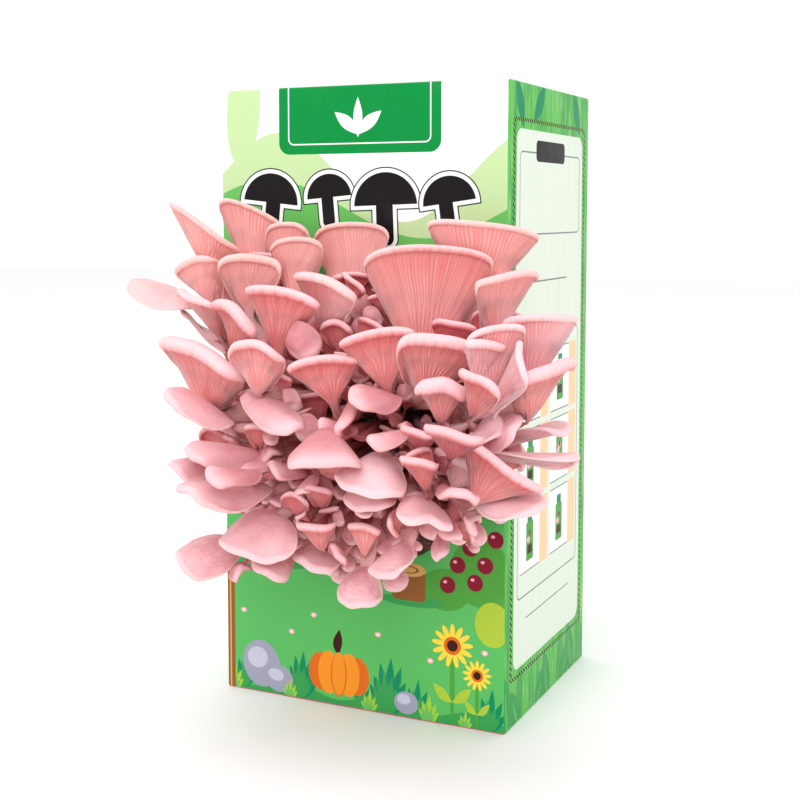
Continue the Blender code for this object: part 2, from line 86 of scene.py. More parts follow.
# Detail of the mushrooms' skin
GILL_COLUMNS = 4
GILL_HEIGHT = 0.75 * MM
FULL_GILLS_REACH = 22 * MM
SQUARENESS = 0.08
RIM_START = 0.25
RIM_FULL = 0.97
THIN_EDGE = 0.3
DIMPLE = 0.2
STEM_END = 0.62
THROAT_END = 0.26

# Painted shade on the gills, under the margin and by the stem, and at the stem's foot with the block's stain
MARGIN_SHADE = 0.75
STEM_SHADE = 0.4
FOOT_STAIN_AND_SHADE = 1.2


@dataclass(frozen=True)
class Mushroom:
    """One cap and its stem. Those in MUSHROOMS have the same measures as their solids.

    The hub is where the gills meet, and the tip is the far point of the cap's edge: both are
    (across, out of the carton's front, up) in millimetres. width is the cap's greatest width, and
    roll turns the cap about the line from hub to tip. lip is the radius of its rolled edge, back
    how far it reaches behind the hub, and stem the stem's thickness. arch lifts the middle of the
    top, and droop lowers the sides, or lifts them below 0. ruffle and ruffles wave the edge, notch
    splits the tip, taper narrows the cap towards the hub, skew leans it to one side, and deep is
    how far its gills run down into the stem.
    """

    name: str
    hub: tuple[float, float, float]
    tip: tuple[float, float, float]
    width: float
    roll: float = 0.0
    lip: float = 2.6
    back: float = 4.5
    stem: float = 4.0
    arch: float = 0.0
    droop: float = 2.0
    ruffle: float = 0.8
    ruffles: int = 3
    notch: float = 0.0
    taper: float = 0.9
    skew: float = 0.0
    deep: float = 0.0


MUSHROOMS = (
    # Across the middle, the largest first
    Mushroom("great_fan", (38, 27, 136), (44, 33, 182), 44, 19, lip=1.9, stem=5.8, droop=-1.5, ruffle=1.2,
             taper=1.3),
    Mushroom("great_left_visor", (-41, 30, 124), (-36, 53, 147), 38, -13, lip=3.6, stem=5.8, droop=1, deep=7),
    Mushroom("centre_pale_cap", (35, 56, 109), (37, 69, 104), 24, 4, lip=1.9, back=8, arch=2, droop=3,
             taper=0.18),
    Mushroom("centre_left_tongue", (16, 56, 119), (26, 76, 113), 25, 30, lip=1.9, arch=1.6, droop=3,
             taper=0.7),
    Mushroom("centre_broad_fan", (43, 36, 136), (58, 49, 154), 30, 15, lip=2.9, stem=5.2, droop=5,
             taper=0.75, skew=0.1, deep=5),
    Mushroom("left_hood", (-10, 40, 144), (-2, 52, 168), 27, -2, lip=2.4, stem=5.2, droop=1.5, taper=1.4),
    Mushroom("heart_cap", (49, 52, 98), (60, 66, 95), 19, 24, lip=1.9, arch=1.6, notch=0.1, taper=0.36),
    Mushroom("right_long_fan", (68, 44, 103), (82, 55, 114), 29, -6, lip=2.2, stem=5.8, droop=-1, deep=3),
    Mushroom("lower_left_tongue", (-15, 46, 95), (-29, 76, 100), 20, -42, lip=1.9, arch=1.7, ruffle=2,
             taper=0.3),
    Mushroom("lower_left_cap", (-12, 50, 83), (-13, 64, 76), 29, -18, lip=1.9, back=8, arch=2.4, droop=3,
             taper=0.12),
    Mushroom("left_tongue", (-20, 46, 107), (-33, 66, 112), 16, -48, lip=1.9, arch=1.6, droop=3, taper=0.3),
    Mushroom("lower_left_ball", (-35, 44, 70), (-44, 57, 68), 18, -74, lip=1.9, back=9, arch=2.8, droop=3,
             taper=0.12),
    Mushroom("low_right_cap", (36, 44, 77), (32, 53, 72), 17, -30, lip=1.9, back=6, arch=1.7, droop=3,
             taper=0.12),
    Mushroom("lowest_cap", (20, 38, 63), (22, 45, 57), 16, 55, lip=1.9, back=7, arch=2.2, droop=3,
             taper=0.12),
    Mushroom("left_pale_cap", (-17, 50, 128), (8, 60, 121), 14, 66, lip=1.9, arch=1.6, taper=0.2),
    # Right side
    Mushroom("right_wing", (78, 30, 133), (86, 38, 161), 24, 14, lip=1.9, stem=5.2, droop=-1.5, taper=1.4,
             skew=0.2),
    Mushroom("right_corner_fan", (78, 39, 131), (93, 48, 146), 24, 46, lip=2.9, stem=5.2, droop=-1.5,
             taper=1.05, deep=4),
    Mushroom("right_upper_fan", (62, 28, 149), (75, 37, 174), 27, 52, lip=1.7, stem=5.2, droop=-1.5,
             taper=1.4),
    Mushroom("right_inner_hood", (66, 45, 137), (72, 51, 153), 14, 10, lip=2.2, stem=3, droop=-1.5,
             taper=1.4),
    Mushroom("right_mid_fan", (69, 42, 132), (75, 50, 157), 19, 16, lip=1.7, stem=4.4, droop=-1.5, taper=1.4,
             skew=0.3),
    Mushroom("right_blade", (75, 48, 129), (88, 58, 149), 16, -70, lip=1.5, stem=3, droop=-1.5, taper=1.4),
    Mushroom("right_inner_blade", (71, 53, 130), (75, 64, 143), 16, -27, lip=2.2, stem=3, droop=-1.5,
             taper=0.75, deep=2),
    Mushroom("centre_visor", (53, 43, 134), (60, 57, 140), 19, 16, lip=3.3, taper=0.48, deep=10),
    Mushroom("right_double_visor", (65, 61, 118), (72, 77, 128), 19, 0, lip=2.2, stem=4.4, droop=1.5,
             taper=1.2),
    Mushroom("right_diagonal_cap", (64, 52, 118), (72, 42, 127), 14, 58, lip=1.9, stem=3, taper=0.24),
    Mushroom("right_pale_cap", (69, 42, 118), (80, 46, 127), 13, 88, lip=1.9, stem=3, arch=1, taper=0.24),
    Mushroom("right_thin_fan", (65, 32, 115), (93, 29, 123), 12, 46, lip=1.6, stem=3, droop=-1.5),
    Mushroom("right_thin_blade", (68, 42, 114), (96, 27, 112), 10, 14, lip=1.6, stem=3, taper=0.48),
    Mushroom("right_tongue", (70, 44, 97), (90, 47, 101), 13, 66, lip=1.9, arch=1.4, taper=0.2),
    Mushroom("right_low_band", (59, 40, 104), (61, 49, 114), 18, -25, lip=2.2, stem=3.2, droop=-1.5,
             taper=0.75, deep=2),
    Mushroom("right_small_cap", (63, 59, 105), (75, 75, 108), 13, 20, lip=1.9, stem=3, taper=0.24),
    # Upper back row
    Mushroom("back_ruffled_fan", (3, 9, 148), (1, 9, 189), 29, 14, lip=1.5, stem=5.8, droop=-1.5, ruffle=1.8,
             ruffles=5, taper=1.4),
    Mushroom("top_left_fan", (-39, 10, 163), (-38, 14, 195), 25, 24, lip=1.5, stem=5.2, droop=-1.5,
             taper=1.4, skew=-0.45),
    Mushroom("top_right_wing", (53, 14, 161), (60, 22, 190), 38, 16, lip=1.5, stem=5.8, droop=-1.5,
             taper=1.4),
    Mushroom("back_left_fan", (-15, 19, 159), (-13, 24, 184), 20, 10, lip=1.5, stem=4.4, droop=-1.5),
    Mushroom("back_left_peak", (-23, 12, 164), (-23, 13, 189), 18, 14, lip=1.5, stem=3, droop=-1.5),
    # Left side
    Mushroom("far_left_blade", (-51, 24, 172), (-49, 31, 190), 25, 6, lip=1.6, stem=3, droop=-1.5, taper=1.2,
             skew=-0.7),
    Mushroom("left_arch_fan", (-32, 25, 156), (-27, 32, 178), 24, 10, lip=2.2, stem=5.2, droop=3),
    Mushroom("left_upper_fan", (-45, 28, 160), (-52, 35, 176), 20, 10, lip=1.9, stem=3.5, droop=-1.5),
    Mushroom("left_broad_fan", (6, 30, 150), (10, 44, 172), 27, -19, lip=2.3, stem=5.2, taper=1.05),
    Mushroom("left_slant_hood", (-26, 36, 147), (-22, 50, 160), 23, -27, lip=2.9, stem=5.2, droop=1.5,
             deep=4),
    Mushroom("left_mid_fan", (-38, 31, 148), (-45, 46, 165), 21, -22, lip=1.9, stem=4.4, droop=0.5,
             skew=-0.1),
    Mushroom("far_left_cap", (-57, 33, 159), (-79, 33, 168), 16, -66, lip=1.9, arch=1.1, taper=0.24),
    Mushroom("left_round_fan", (-13, 48, 135), (-8, 61, 150), 20, 7, lip=2.2, taper=0.48, deep=6),
    Mushroom("left_pointed_cap", (-31, 46, 119), (-46, 59, 131), 15, -60, lip=1.9, stem=3.2, arch=1.1,
             taper=0.12),
    Mushroom("left_shaded_cap", (-35, 46, 103), (-42, 62, 104), 15, -46, lip=1.9, arch=1.7, droop=3,
             taper=0.24),
    Mushroom("left_thin_cap", (-10, 62, 104), (-18, 76, 106), 13, -40, lip=1.9, stem=3, arch=0.6, taper=0.24),
    # Centre
    Mushroom("centre_slant_fan", (33, 42, 134), (33, 53, 155), 26, 16, lip=2.3, stem=5.2, droop=1, taper=1.3),
    Mushroom("centre_left_fan", (13, 44, 129), (14, 55, 145), 26, 20, lip=2.2, stem=5.2, droop=-0.5,
             taper=1.3),
    Mushroom("centre_small_visor", (37, 50, 131), (27, 59, 134), 14, -62, lip=1.9, stem=3.4, arch=1.2,
             taper=0.2),
    Mushroom("centre_side_cap", (22, 46, 130), (21, 60, 119), 10, 38, lip=1.9, stem=3.2, arch=1.2, taper=0.2),
    Mushroom("centre_low_hood", (54, 57, 105), (56, 69, 116), 13, 6, lip=1.9, stem=3, droop=-1.5, taper=1.4),
    Mushroom("centre_low_fan", (50, 50, 115), (52, 60, 124), 13, -16, lip=1.9, stem=3, droop=-1.5, taper=1.4),
    # Along the bottom
    Mushroom("bottom_left_cap", (-13, 36, 76), (-6, 56, 67), 16, 0, lip=1.9, stem=3.2, arch=1.7, taper=0.24),
    Mushroom("bottom_flat_cap", (1, 30, 73), (5, 46, 70), 17, 0, lip=1.9, stem=3.2, arch=1.1, taper=0.24),
    Mushroom("heart_lobe", (53, 40, 91), (63, 54, 88), 9, 10, lip=1.6, stem=3, arch=1.1, taper=0.24),
    Mushroom("low_funnel", (23, 40, 75), (26, 47, 87), 12, 10, lip=1.9, back=4, stem=3, droop=-1.5,
             taper=1.4),
    Mushroom("low_left_funnel", (8, 43, 76), (11, 55, 88), 14, 10, lip=1.9, back=4, stem=3, droop=-1.5,
             taper=1.4),
)

# Painted light on the flesh of a named mushroom above 0, and painted shade below 0, where it stands out
LIGHT_AND_SHADE = {
    "great_fan": 0.2, "left_hood": -0.1, "back_left_fan": 1.0, "right_wing": 1.0,
    "centre_left_fan": -0.25, "centre_slant_fan": -0.2, "centre_left_tongue": -0.55,
    "centre_side_cap": -0.75, "centre_small_visor": -0.5, "centre_low_hood": -0.6,
    "centre_low_fan": -0.9, "centre_pale_cap": 1.0, "right_double_visor": -0.9,
    "right_small_cap": -0.55, "right_long_fan": -0.2, "right_inner_blade": -0.2,
    "right_corner_fan": -0.1, "right_diagonal_cap": 1.0, "right_low_band": 1.0,
    "left_tongue": -0.3, "left_slant_hood": -0.2, "left_pale_cap": -0.2, "left_shaded_cap": -0.2,
    "left_thin_cap": -0.6, "lower_left_tongue": -0.1, "bottom_left_cap": -0.6,
    "low_left_funnel": -0.3, "low_funnel": 0.0, "heart_lobe": -0.9,
}

# Young mushrooms with a place of their own. They have no solids
YOUNG = (
    Mushroom("young_ball", (3, 51, 149), (4, 51, 141), 14, 178, back=6.5, stem=3, arch=4, taper=0.1),
    Mushroom("young_button_1", (-12, 42, 129), (-12, 42, 124), 8, 180, back=4, stem=2.6, arch=2.4, taper=0.1),
    Mushroom("young_button_2", (-5, 45, 127), (-4, 45, 122), 8, 172, back=4, stem=2.6, arch=2.4, taper=0.1),
    Mushroom("young_button_3", (-17, 38, 124), (-17, 38, 118), 9, 186, back=4, stem=2.6, arch=2.4, taper=0.1),
    Mushroom("young_button_4", (29, 44, 132), (30, 45, 128), 7, 176, back=3.5, stem=2.6, arch=2, taper=0.1),
    Mushroom("young_hood_inner", (10, 34, 146), (13, 42, 156), 12, 10, lip=1.8, stem=3, droop=2),
    Mushroom("young_fan_inner", (54, 34, 146), (57, 42, 158), 15, 8, lip=1.7, stem=3.4, droop=1),
    Mushroom("young_under_cap", (30, 48, 101), (31, 58, 95), 18, 16, lip=1.7, back=5, stem=3, arch=1.2,
             taper=0.2),
    Mushroom("young_pale_bar", (43, 54, 120), (33, 60, 119), 9, -60, lip=1.8, stem=2.6, arch=1, taper=0.2),
    Mushroom("young_leaf", (21, 50, 120), (14, 57, 123), 7, -60, lip=1.4, stem=2.6, arch=0.6, taper=0.3),
    Mushroom("young_low_fan", (15, 42, 73), (19, 51, 78), 9, -34, lip=1.6, stem=2.8, arch=0.8, taper=0.3),
    Mushroom("young_side_lobe", (-38, 10, 114), (-44, 20, 117), 12, -30, lip=1.6, stem=3, arch=1, taper=0.3),
    Mushroom("young_left_low_1", (-1, 44, 102), (-8, 53, 106), 10, -40, lip=1.7, stem=2.8, arch=1, taper=0.3),
    Mushroom("young_left_low_2", (-12, 46, 105), (-20, 54, 103), 9, -50, lip=1.6, stem=2.8, arch=1,
             taper=0.2),
    Mushroom("young_curl", (-18, 42, 111), (-14, 50, 120), 10, 12, lip=1.6, stem=3, droop=2.5),
    Mushroom("young_round", (-16, 40, 109), (-11, 49, 108), 10, 50, lip=1.6, back=4, stem=2.6, arch=1.2,
             taper=0.1),
    Mushroom("young_back_fan_1", (3, 10, 146), (10, 18, 170), 22, 8, lip=1.4, stem=4.4, droop=-1, taper=1.2),
    Mushroom("young_back_fan_2", (-32, 10, 157), (-29, 16, 178), 18, 6, lip=1.4, stem=4, droop=-1, taper=1.1),
    Mushroom("young_back_fan_3", (22, 12, 144), (24, 18, 164), 20, 4, lip=1.5, stem=4, droop=1, taper=1),
    Mushroom("young_back_fan_4", (60, 16, 140), (66, 22, 160), 20, 10, lip=1.5, stem=4, droop=1),
    Mushroom("young_back_fan_5", (-12, 14, 142), (-10, 22, 160), 20, 0, lip=1.5, stem=4, droop=1),
    Mushroom("young_back_fan_6", (-34, 20, 132), (-38, 30, 148), 20, -6, lip=1.5, stem=4, droop=1),
    Mushroom("young_stalk", (51, 40, 83), (54, 49, 79), 6, 40, lip=1.5, stem=2.4, arch=1, taper=0.1),
    Mushroom("young_back_fan_7", (-50, 10, 150), (-50, 18, 170), 18, 0, lip=1.4, stem=4, droop=-1),
    Mushroom("young_back_fan_8", (-24, 8, 156), (-23, 12, 176), 16, 6, lip=1.4, stem=4, droop=-1),
    Mushroom("young_back_cap_1", (-38, 10, 112), (-42, 18, 126), 22, -6, lip=1.5, stem=4, droop=1),
    Mushroom("young_back_cap_2", (-24, 12, 90), (-30, 24, 85), 18, -20, lip=1.5, stem=3.6, arch=1, taper=0.2),
    Mushroom("young_pair_1", (-1, 44, 88), (2, 52, 96), 11, 0, lip=1.5, stem=2.8, droop=1.5),
    Mushroom("young_pair_2", (8, 44, 92), (11, 52, 100), 10, 14, lip=1.5, stem=2.8, droop=1.5),
    Mushroom("young_right_hood", (52, 50, 107), (48, 57, 116), 11, 24, lip=1.6, stem=3, droop=2),
    Mushroom("young_low_left", (-29, 42, 64), (-22, 51, 66), 9, 60, lip=1.5, stem=2.6, arch=1, taper=0.1),
)


# Mesh helpers --------------------------------------------------------------------------------------


def deselect_all() -> None:
    """Leaves nothing selected, so that an operator acts only on what is picked next."""
    for obj in bpy.context.selected_objects:
        obj.select_set(False)


def pick(obj: bpy.types.Object) -> None:
    """Selects one object and makes it the active one.

    Args:
        obj: The object to work on next.
    """
    deselect_all()
    obj.select_set(True)
    bpy.context.view_layer.objects.active = obj


def apply_modifiers(obj: bpy.types.Object) -> None:
    """Applies every modifier of an object, in their order.

    Args:
        obj: The object whose modifiers are applied.
    """
    pick(obj)
    for modifier in list(obj.modifiers):
        bpy.ops.object.modifier_apply(modifier=modifier.name)


def box(name: str, low: tuple, high: tuple) -> bpy.types.Object:
    """Adds a box between two corners.

    Args:
        name: The new object's name.
        low: Its lowest corner, in metres.
        high: Its highest corner, in metres.

    Returns:
        The box, at the origin and unscaled, with its place in its mesh.
    """
    low, high = Vector(low), Vector(high)
    deselect_all()
    bpy.ops.mesh.primitive_cube_add(size=1, location=(low + high) / 2)
    obj = bpy.context.active_object
    obj.name = name
    obj.scale = high - low
    bpy.ops.object.transform_apply(location=True, rotation=True, scale=True)
    return obj


def cut(obj: bpy.types.Object, cutter: bpy.types.Object, operation: str) -> None:
    """Cuts or joins one object with another, and removes the other.

    Args:
        obj: The object that is changed.
        cutter: The object that cuts or joins it.
        operation: DIFFERENCE or UNION.
    """
    modifier = obj.modifiers.new(cutter.name, "BOOLEAN")
    modifier.operation = operation
    modifier.object = cutter
    modifier.solver = "EXACT"
    apply_modifiers(obj)
    bpy.data.objects.remove(cutter)


def round_edges(radius: float, segments: int) -> None:
    """Rounds every edge of the active object.

    Args:
        radius: The edges' radius, in metres.
        segments: How many faces go round each edge.
    """
    bpy.ops.object.mode_set(mode="EDIT")
    bpy.ops.mesh.select_all(action="SELECT")
    bpy.ops.mesh.bevel(offset=radius, segments=segments, affect="EDGES")
    bpy.ops.object.mode_set(mode="OBJECT")


def joined(objects: list[bpy.types.Object]) -> bpy.types.Object:
    """Joins objects into the first of them."""
    deselect_all()
    for obj in objects:
        obj.select_set(True)
    bpy.context.view_layer.objects.active = objects[0]
    bpy.ops.object.join()
    return objects[0]


def finish_piece(obj: bpy.types.Object, name: str, slot: str, *nodes: str) -> bpy.types.Object:
    """Names a finished piece, ties it to the body and hides the nodes that it stands for.

    Args:
        obj: The finished piece, at the origin.
        name: Its name.
        slot: The record's material slot of the piece; it is not used.
        nodes: The CAD nodes that it replaces.

    Returns:
        The same piece.
    """
    obj.name = name
    obj.data.name = name
    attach(obj, "root")
    if nodes:
        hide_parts(*nodes)
    LOG.info("%s: %d faces", name, len(obj.data.polygons))
    return obj


# Colours and node helpers --------------------------------------------------------------------------


def paint(red: int, green: int, blue: int) -> tuple[float, float, float, float]:
    """Turns a colour as a screen shows it into the linear colour that a shader takes.

    Args:
        red: Red, 0 to 255.
        green: Green, 0 to 255.
        blue: Blue, 0 to 255.

    Returns:
        The linear colour with an alpha of 1.
    """
    linear = [((part / 255 + 0.055) / 1.055) ** 2.4 for part in (red, green, blue)]
    return (*linear, 1.0)


class Board:
    """A short way to lay and join the nodes of one tree."""

    def __init__(self, tree: bpy.types.NodeTree) -> None:
        """Takes the tree to work on."""
        self.tree = tree

    def put(self, kind: str, inputs: dict | None = None, **settings) -> bpy.types.Node:
        """Adds a node.

        Args:
            kind: Its type, without the word ShaderNode.
            inputs: What goes into its sockets, by name or number: another socket or a value.
            settings: Its own properties.

        Returns:
            The new node.
        """
        node = self.tree.nodes.new(f"ShaderNode{kind}")
        for name, value in settings.items():
            setattr(node, name, value)
        for key, value in (inputs or {}).items():
            if isinstance(value, bpy.types.NodeSocket):
                self.tree.links.new(value, node.inputs[key])
            else:
                node.inputs[key].default_value = value
        return node

    def feed(self, node: bpy.types.Node, **sockets: bpy.types.NodeSocket) -> None:
        """Links sockets to a node's inputs, by their names with _ for spaces."""
        for name, socket in sockets.items():
            self.tree.links.new(socket, node.inputs[name.replace("_", " ")])

    def math(self, operation: str, *values) -> bpy.types.NodeSocket:
        """Joins numbers by one operation."""
        return self.put("Math", dict(enumerate(values)), operation=operation).outputs[0]

    def plus(self, one, other) -> bpy.types.NodeSocket:
        """The sum of two numbers."""
        return self.math("ADD", one, other)

    def minus(self, one, other) -> bpy.types.NodeSocket:
        """The first number less the second."""
        return self.math("SUBTRACT", one, other)

    def times(self, one, other) -> bpy.types.NodeSocket:
        """The product of two numbers."""
        return self.math("MULTIPLY", one, other)

    def vector(self, operation: str, *values) -> bpy.types.NodeSocket:
        """Joins vectors by one operation."""
        node = self.put("VectorMath", dict(enumerate(values)), operation=operation)
        return node.outputs["Value" if operation == "LENGTH" else "Vector"]

    def mix(self, share, under, over) -> bpy.types.NodeSocket:
        """Lays one colour over another by a share."""
        return self.put("Mix", {0: share, 6: under, 7: over}, data_type="RGBA").outputs[2]

    def ramp(self, value, low: float, high: float, start=0.0, end=1.0) -> bpy.types.NodeSocket:
        """Eases a number from one value to another between two limits."""
        inputs = {0: value, 1: low, 2: high, 3: start, 4: end}
        return self.put("MapRange", inputs, interpolation_type="SMOOTHSTEP").outputs[0]

    def grain(self, point, scale: float, detail: float = 3.0, rough: float = 0.5):
        """Cloudy noise from 0 to 1."""
        inputs = {"Vector": point, "Scale": scale, "Detail": detail, "Roughness": rough}
        return self.put("TexNoise", inputs).outputs["Fac"]

    def bump(self, height, strength: float, distance: float) -> bpy.types.NodeSocket:
        """Turns a height into a normal."""
        inputs = {"Height": height, "Strength": strength, "Distance": distance}
        return self.put("Bump", inputs).outputs["Normal"]

    def split(self, vector) -> tuple:
        """The three parts of a vector."""
        return tuple(self.put("SeparateXYZ", {0: vector}).outputs)

    def join(self, *parts) -> bpy.types.NodeSocket:
        """A vector of three parts."""
        return self.put("CombineXYZ", dict(enumerate(parts))).outputs[0]


def new_group(name: str, inputs: dict, outputs: dict) -> tuple:
    """Starts a shader node group that several materials use.

    Args:
        name: Its name.
        inputs: Socket types by name.
        outputs: Socket types by name.

    Returns:
        The group, a board to lay its nodes with, its input sockets and its output node.
    """
    group = bpy.data.node_groups.new(name, "ShaderNodeTree")
    for side, sockets in (("INPUT", inputs), ("OUTPUT", outputs)):
        for socket, kind in sockets.items():
            group.interface.new_socket(socket, in_out=side, socket_type=f"NodeSocket{kind}")
    source = group.nodes.new("NodeGroupInput")
    return group, Board(group), source.outputs, group.nodes.new("NodeGroupOutput")


def new_material(name: str, **constants) -> tuple:
    """Starts a material with one Principled shader.

    Args:
        name: The finish's name.
        constants: Values of the shader's sockets, with _ for the spaces in their names.

    Returns:
        The material, a board to lay its nodes with, and its shader.
    """
    material = bpy.data.materials.new(name)
    material.use_nodes = True
    shader = material.node_tree.nodes["Principled BSDF"]
    for socket, value in constants.items():
        shader.inputs[socket.replace("_", " ")].default_value = value
    return material, Board(material.node_tree), shader


# Finishes ------------------------------------------------------------------------------------------


@dataclass(frozen=True)
class Flesh:
    """The mushrooms' flesh: pale gill edges over valleys darkened as painted shade, a pale margin and a soft
    top.

    The gills get painted shade just under the margin, where it would shade them, and down by the stem, and
    the stems' feet get painted shade deep in the cluster, with the growing block's stain. A lit mushroom is
    washed with pale pink as painted light, turning to peach high up in the flush, and a shaded one with a
    shaded pink as painted shade. Age creases the top, with darker creases that are partly painted shade.
    """

    ridge: tuple = paint(255, 212, 208)
    # Painted shade where the gills dip between their edges
    valley: tuple = paint(236, 143, 142)
    # Painted shade on the gills, under the margin and by the stem
    deep: tuple = paint(219, 110, 108)
    # Painted shade deep in the cluster, with the block's stain, at the stems' feet
    foot: tuple = paint(74, 26, 34)
    rim: tuple = paint(250, 201, 207)
    top: tuple = paint(242, 184, 189)
    top_blush: tuple = paint(232, 160, 166)
    # Darker creases: partly the flesh's own reddish lines, partly painted shade in the folds
    crease: tuple = paint(214, 122, 128)
    # Pale streaks on the tops, and the painted light that washes lit mushrooms
    pale: tuple = paint(251, 207, 214)
    # Painted light high up in the flush
    lit_peach: tuple = paint(255, 188, 180)
    # Painted shade on shaded mushrooms
    shaded: tuple = paint(192, 100, 106)
    subsurface: float = 0.2
    fibre_bump: float = 0.3

    def build(self) -> bpy.types.Material:
        """Builds the material from the skin's attributes."""
        material, board, shader = new_material(
            "oyster_flesh", Subsurface_Weight=self.subsurface, Subsurface_Scale=3 * MM,
            Subsurface_Radius=(1.0, 0.55, 0.5), Specular_IOR_Level=0.35, Sheen_Weight=0.08)
        flesh = board.put("Attribute", attribute_name="flesh")
        valley, rim, deep = board.put("SeparateColor", {0: flesh.outputs["Color"]}).outputs
        top = flesh.outputs["Alpha"]
        # Painted light above 0, painted shade below 0
        light_and_shade = board.put("Attribute", attribute_name="light_and_shade").outputs["Fac"]
        age = board.put("Attribute", attribute_name="age").outputs["Fac"]
        place = board.put("TexCoord").outputs["Object"]
        around = board.put("TexCoord").outputs["UV"]
        streak = board.grain(board.vector("MULTIPLY", around, (1.6, 5, 1)), 1.0, 3)
        wrinkle = board.grain(board.vector("MULTIPLY", around, (0.35, 60, 1)), 1.0, 3)
        mottle = board.grain(place, 170, 4, 0.6)
        cloud = board.grain(place, 45, 2)
        pores = board.grain(place, 1500, 2)

        # Darker where the gills dip: painted shade between them
        gills = board.mix(valley, self.ridge, self.valley)
        # Painted shade under the margin and by the stem, with streaks, less on lit mushrooms and more on
        # shaded ones
        uneven = board.plus(deep, board.ramp(streak, 0.4, 0.7, 0, 0.3))
        uneven = board.math("MAXIMUM", board.minus(uneven, board.times(light_and_shade, 0.5)), 0.0)
        gills = board.mix(board.math("MINIMUM", uneven, 1.0), gills, self.deep)
        # Painted shade and the block's stain darken the stems' feet deep in the cluster
        stain_and_shade = board.plus(deep, board.times(mottle, 0.6))
        gills = board.mix(board.ramp(stain_and_shade, 1.25, 1.9, 0, 0.92), gills, self.foot)
        skin = board.mix(board.ramp(mottle, 0.42, 0.68), self.top, self.top_blush)
        skin = board.mix(board.ramp(streak, 0.5, 0.8, 0, 0.35), skin, self.pale)
        # Creases darken the top: partly the flesh's own reddish lines, partly painted shade in the folds
        creases = board.times(board.ramp(wrinkle, 0.46, 0.6), age)
        skin = board.mix(board.times(creases, 0.5), skin, self.crease)
        colour = board.mix(top, gills, skin)
        colour = board.mix(board.times(rim, 0.9), colour, self.rim)
        # Painted light: lit mushrooms washed pale pink, peach high up, less in the gills' dips
        painted_light_share = board.times(light_and_shade, board.ramp(cloud, 0.3, 0.7, 0.35, 1))
        painted_light_share = board.times(painted_light_share, board.ramp(valley, 0, 1, 1, 0.5))
        height = board.split(place)[2]
        pale = board.mix(board.ramp(height, 145 * MM, 175 * MM), self.pale, self.lit_peach)
        colour = board.mix(board.math("MAXIMUM", painted_light_share, 0.0), colour, pale)
        # Painted shade on shaded mushrooms, little on the pale margin
        painted_shade_share = board.times(light_and_shade, board.ramp(rim, 0, 1, -1, -0.15))
        colour = board.mix(board.math("MAXIMUM", painted_shade_share, 0.0), colour, self.shaded)
        rough = board.ramp(mottle, 0.3, 0.7, 0.5, 0.66)
        bumps = board.plus(board.times(streak, 0.6), board.times(pores, 0.25))
        bumps = board.plus(bumps, board.times(mottle, 0.5))
        folds = board.times(board.times(creases, top), -1.6)
        bumps = board.plus(bumps, folds)
        normal = board.bump(bumps, self.fibre_bump, 0.6 * MM)
        board.feed(shader, Base_Color=colour, Roughness=rough, Normal=normal)
        return material


@dataclass(frozen=True)
class Substrate:
    """The growing block: damp dark sawdust with threads and flecks of mycelium."""

    dark: tuple = paint(46, 14, 20)
    brown: tuple = paint(104, 44, 46)
    fleck: tuple = paint(205, 150, 145)

    def build(self) -> bpy.types.Material:
        """Builds the material."""
        material, board, shader = new_material("damp_substrate", Specular_IOR_Level=0.4)
        place = board.put("TexCoord").outputs["Object"]
        crumb = board.grain(place, 520, 5, 0.65)
        cloud = board.grain(place, 90, 3)
        cells = board.put("TexVoronoi", {"Vector": place, "Scale": 620.0, "Randomness": 1.0})
        colour = board.mix(board.ramp(crumb, 0.42, 0.62), self.dark, self.brown)
        threads = board.times(board.ramp(cloud, 0.52, 0.66), board.ramp(crumb, 0.5, 0.7))
        colour = board.mix(board.times(threads, 0.55), colour, self.fleck)
        specks = board.ramp(cells.outputs["Distance"], 0.16, 0.08)
        colour = board.mix(board.times(specks, board.ramp(cloud, 0.4, 0.6, 0, 0.7)), colour, self.fleck)
        rough = board.ramp(crumb, 0.3, 0.7, 0.55, 0.95)
        normal = board.bump(crumb, 0.8, 0.9 * MM)
        board.feed(shader, Base_Color=colour, Roughness=rough, Normal=normal)
        return material


class Ink(Enum):
    """The inks that the carton is printed with."""

    WHITE = paint(252, 253, 252)
    BANNER = paint(0, 140, 62)
    PALE_HILL = paint(194, 221, 164)
    HILL = paint(106, 189, 94)
    MEADOW = paint(92, 187, 98)
    SHADE = paint(58, 158, 82)
    DEEP_LEAF = paint(14, 139, 92)
    LIME = paint(160, 206, 66)
    STALK = paint(80, 160, 62)
    STALK_LIGHT = paint(172, 200, 62)
    GREY = paint(160, 160, 182)
    GREY_LIGHT = paint(196, 197, 214)
    PINK = paint(248, 176, 190)
    ORANGE = paint(244, 148, 40)
    ORANGE_DEEP = paint(222, 108, 26)
    UMBER = paint(60, 26, 18)
    YELLOW = paint(252, 216, 70)
    CRIMSON = paint(134, 22, 44)
    TAN = paint(222, 168, 98)
    TRUNK = paint(146, 92, 44)
    MAGENTA = paint(222, 50, 112)
    BLACK = paint(24, 20, 22)
    MINT = paint(226, 235, 220)
    RULE = paint(122, 132, 130)
    PEACH = paint(252, 208, 164)
    WOOD = paint(98, 190, 86)
    WOOD_DARK = paint(52, 150, 74)
    RAW_BOARD = paint(186, 170, 148)


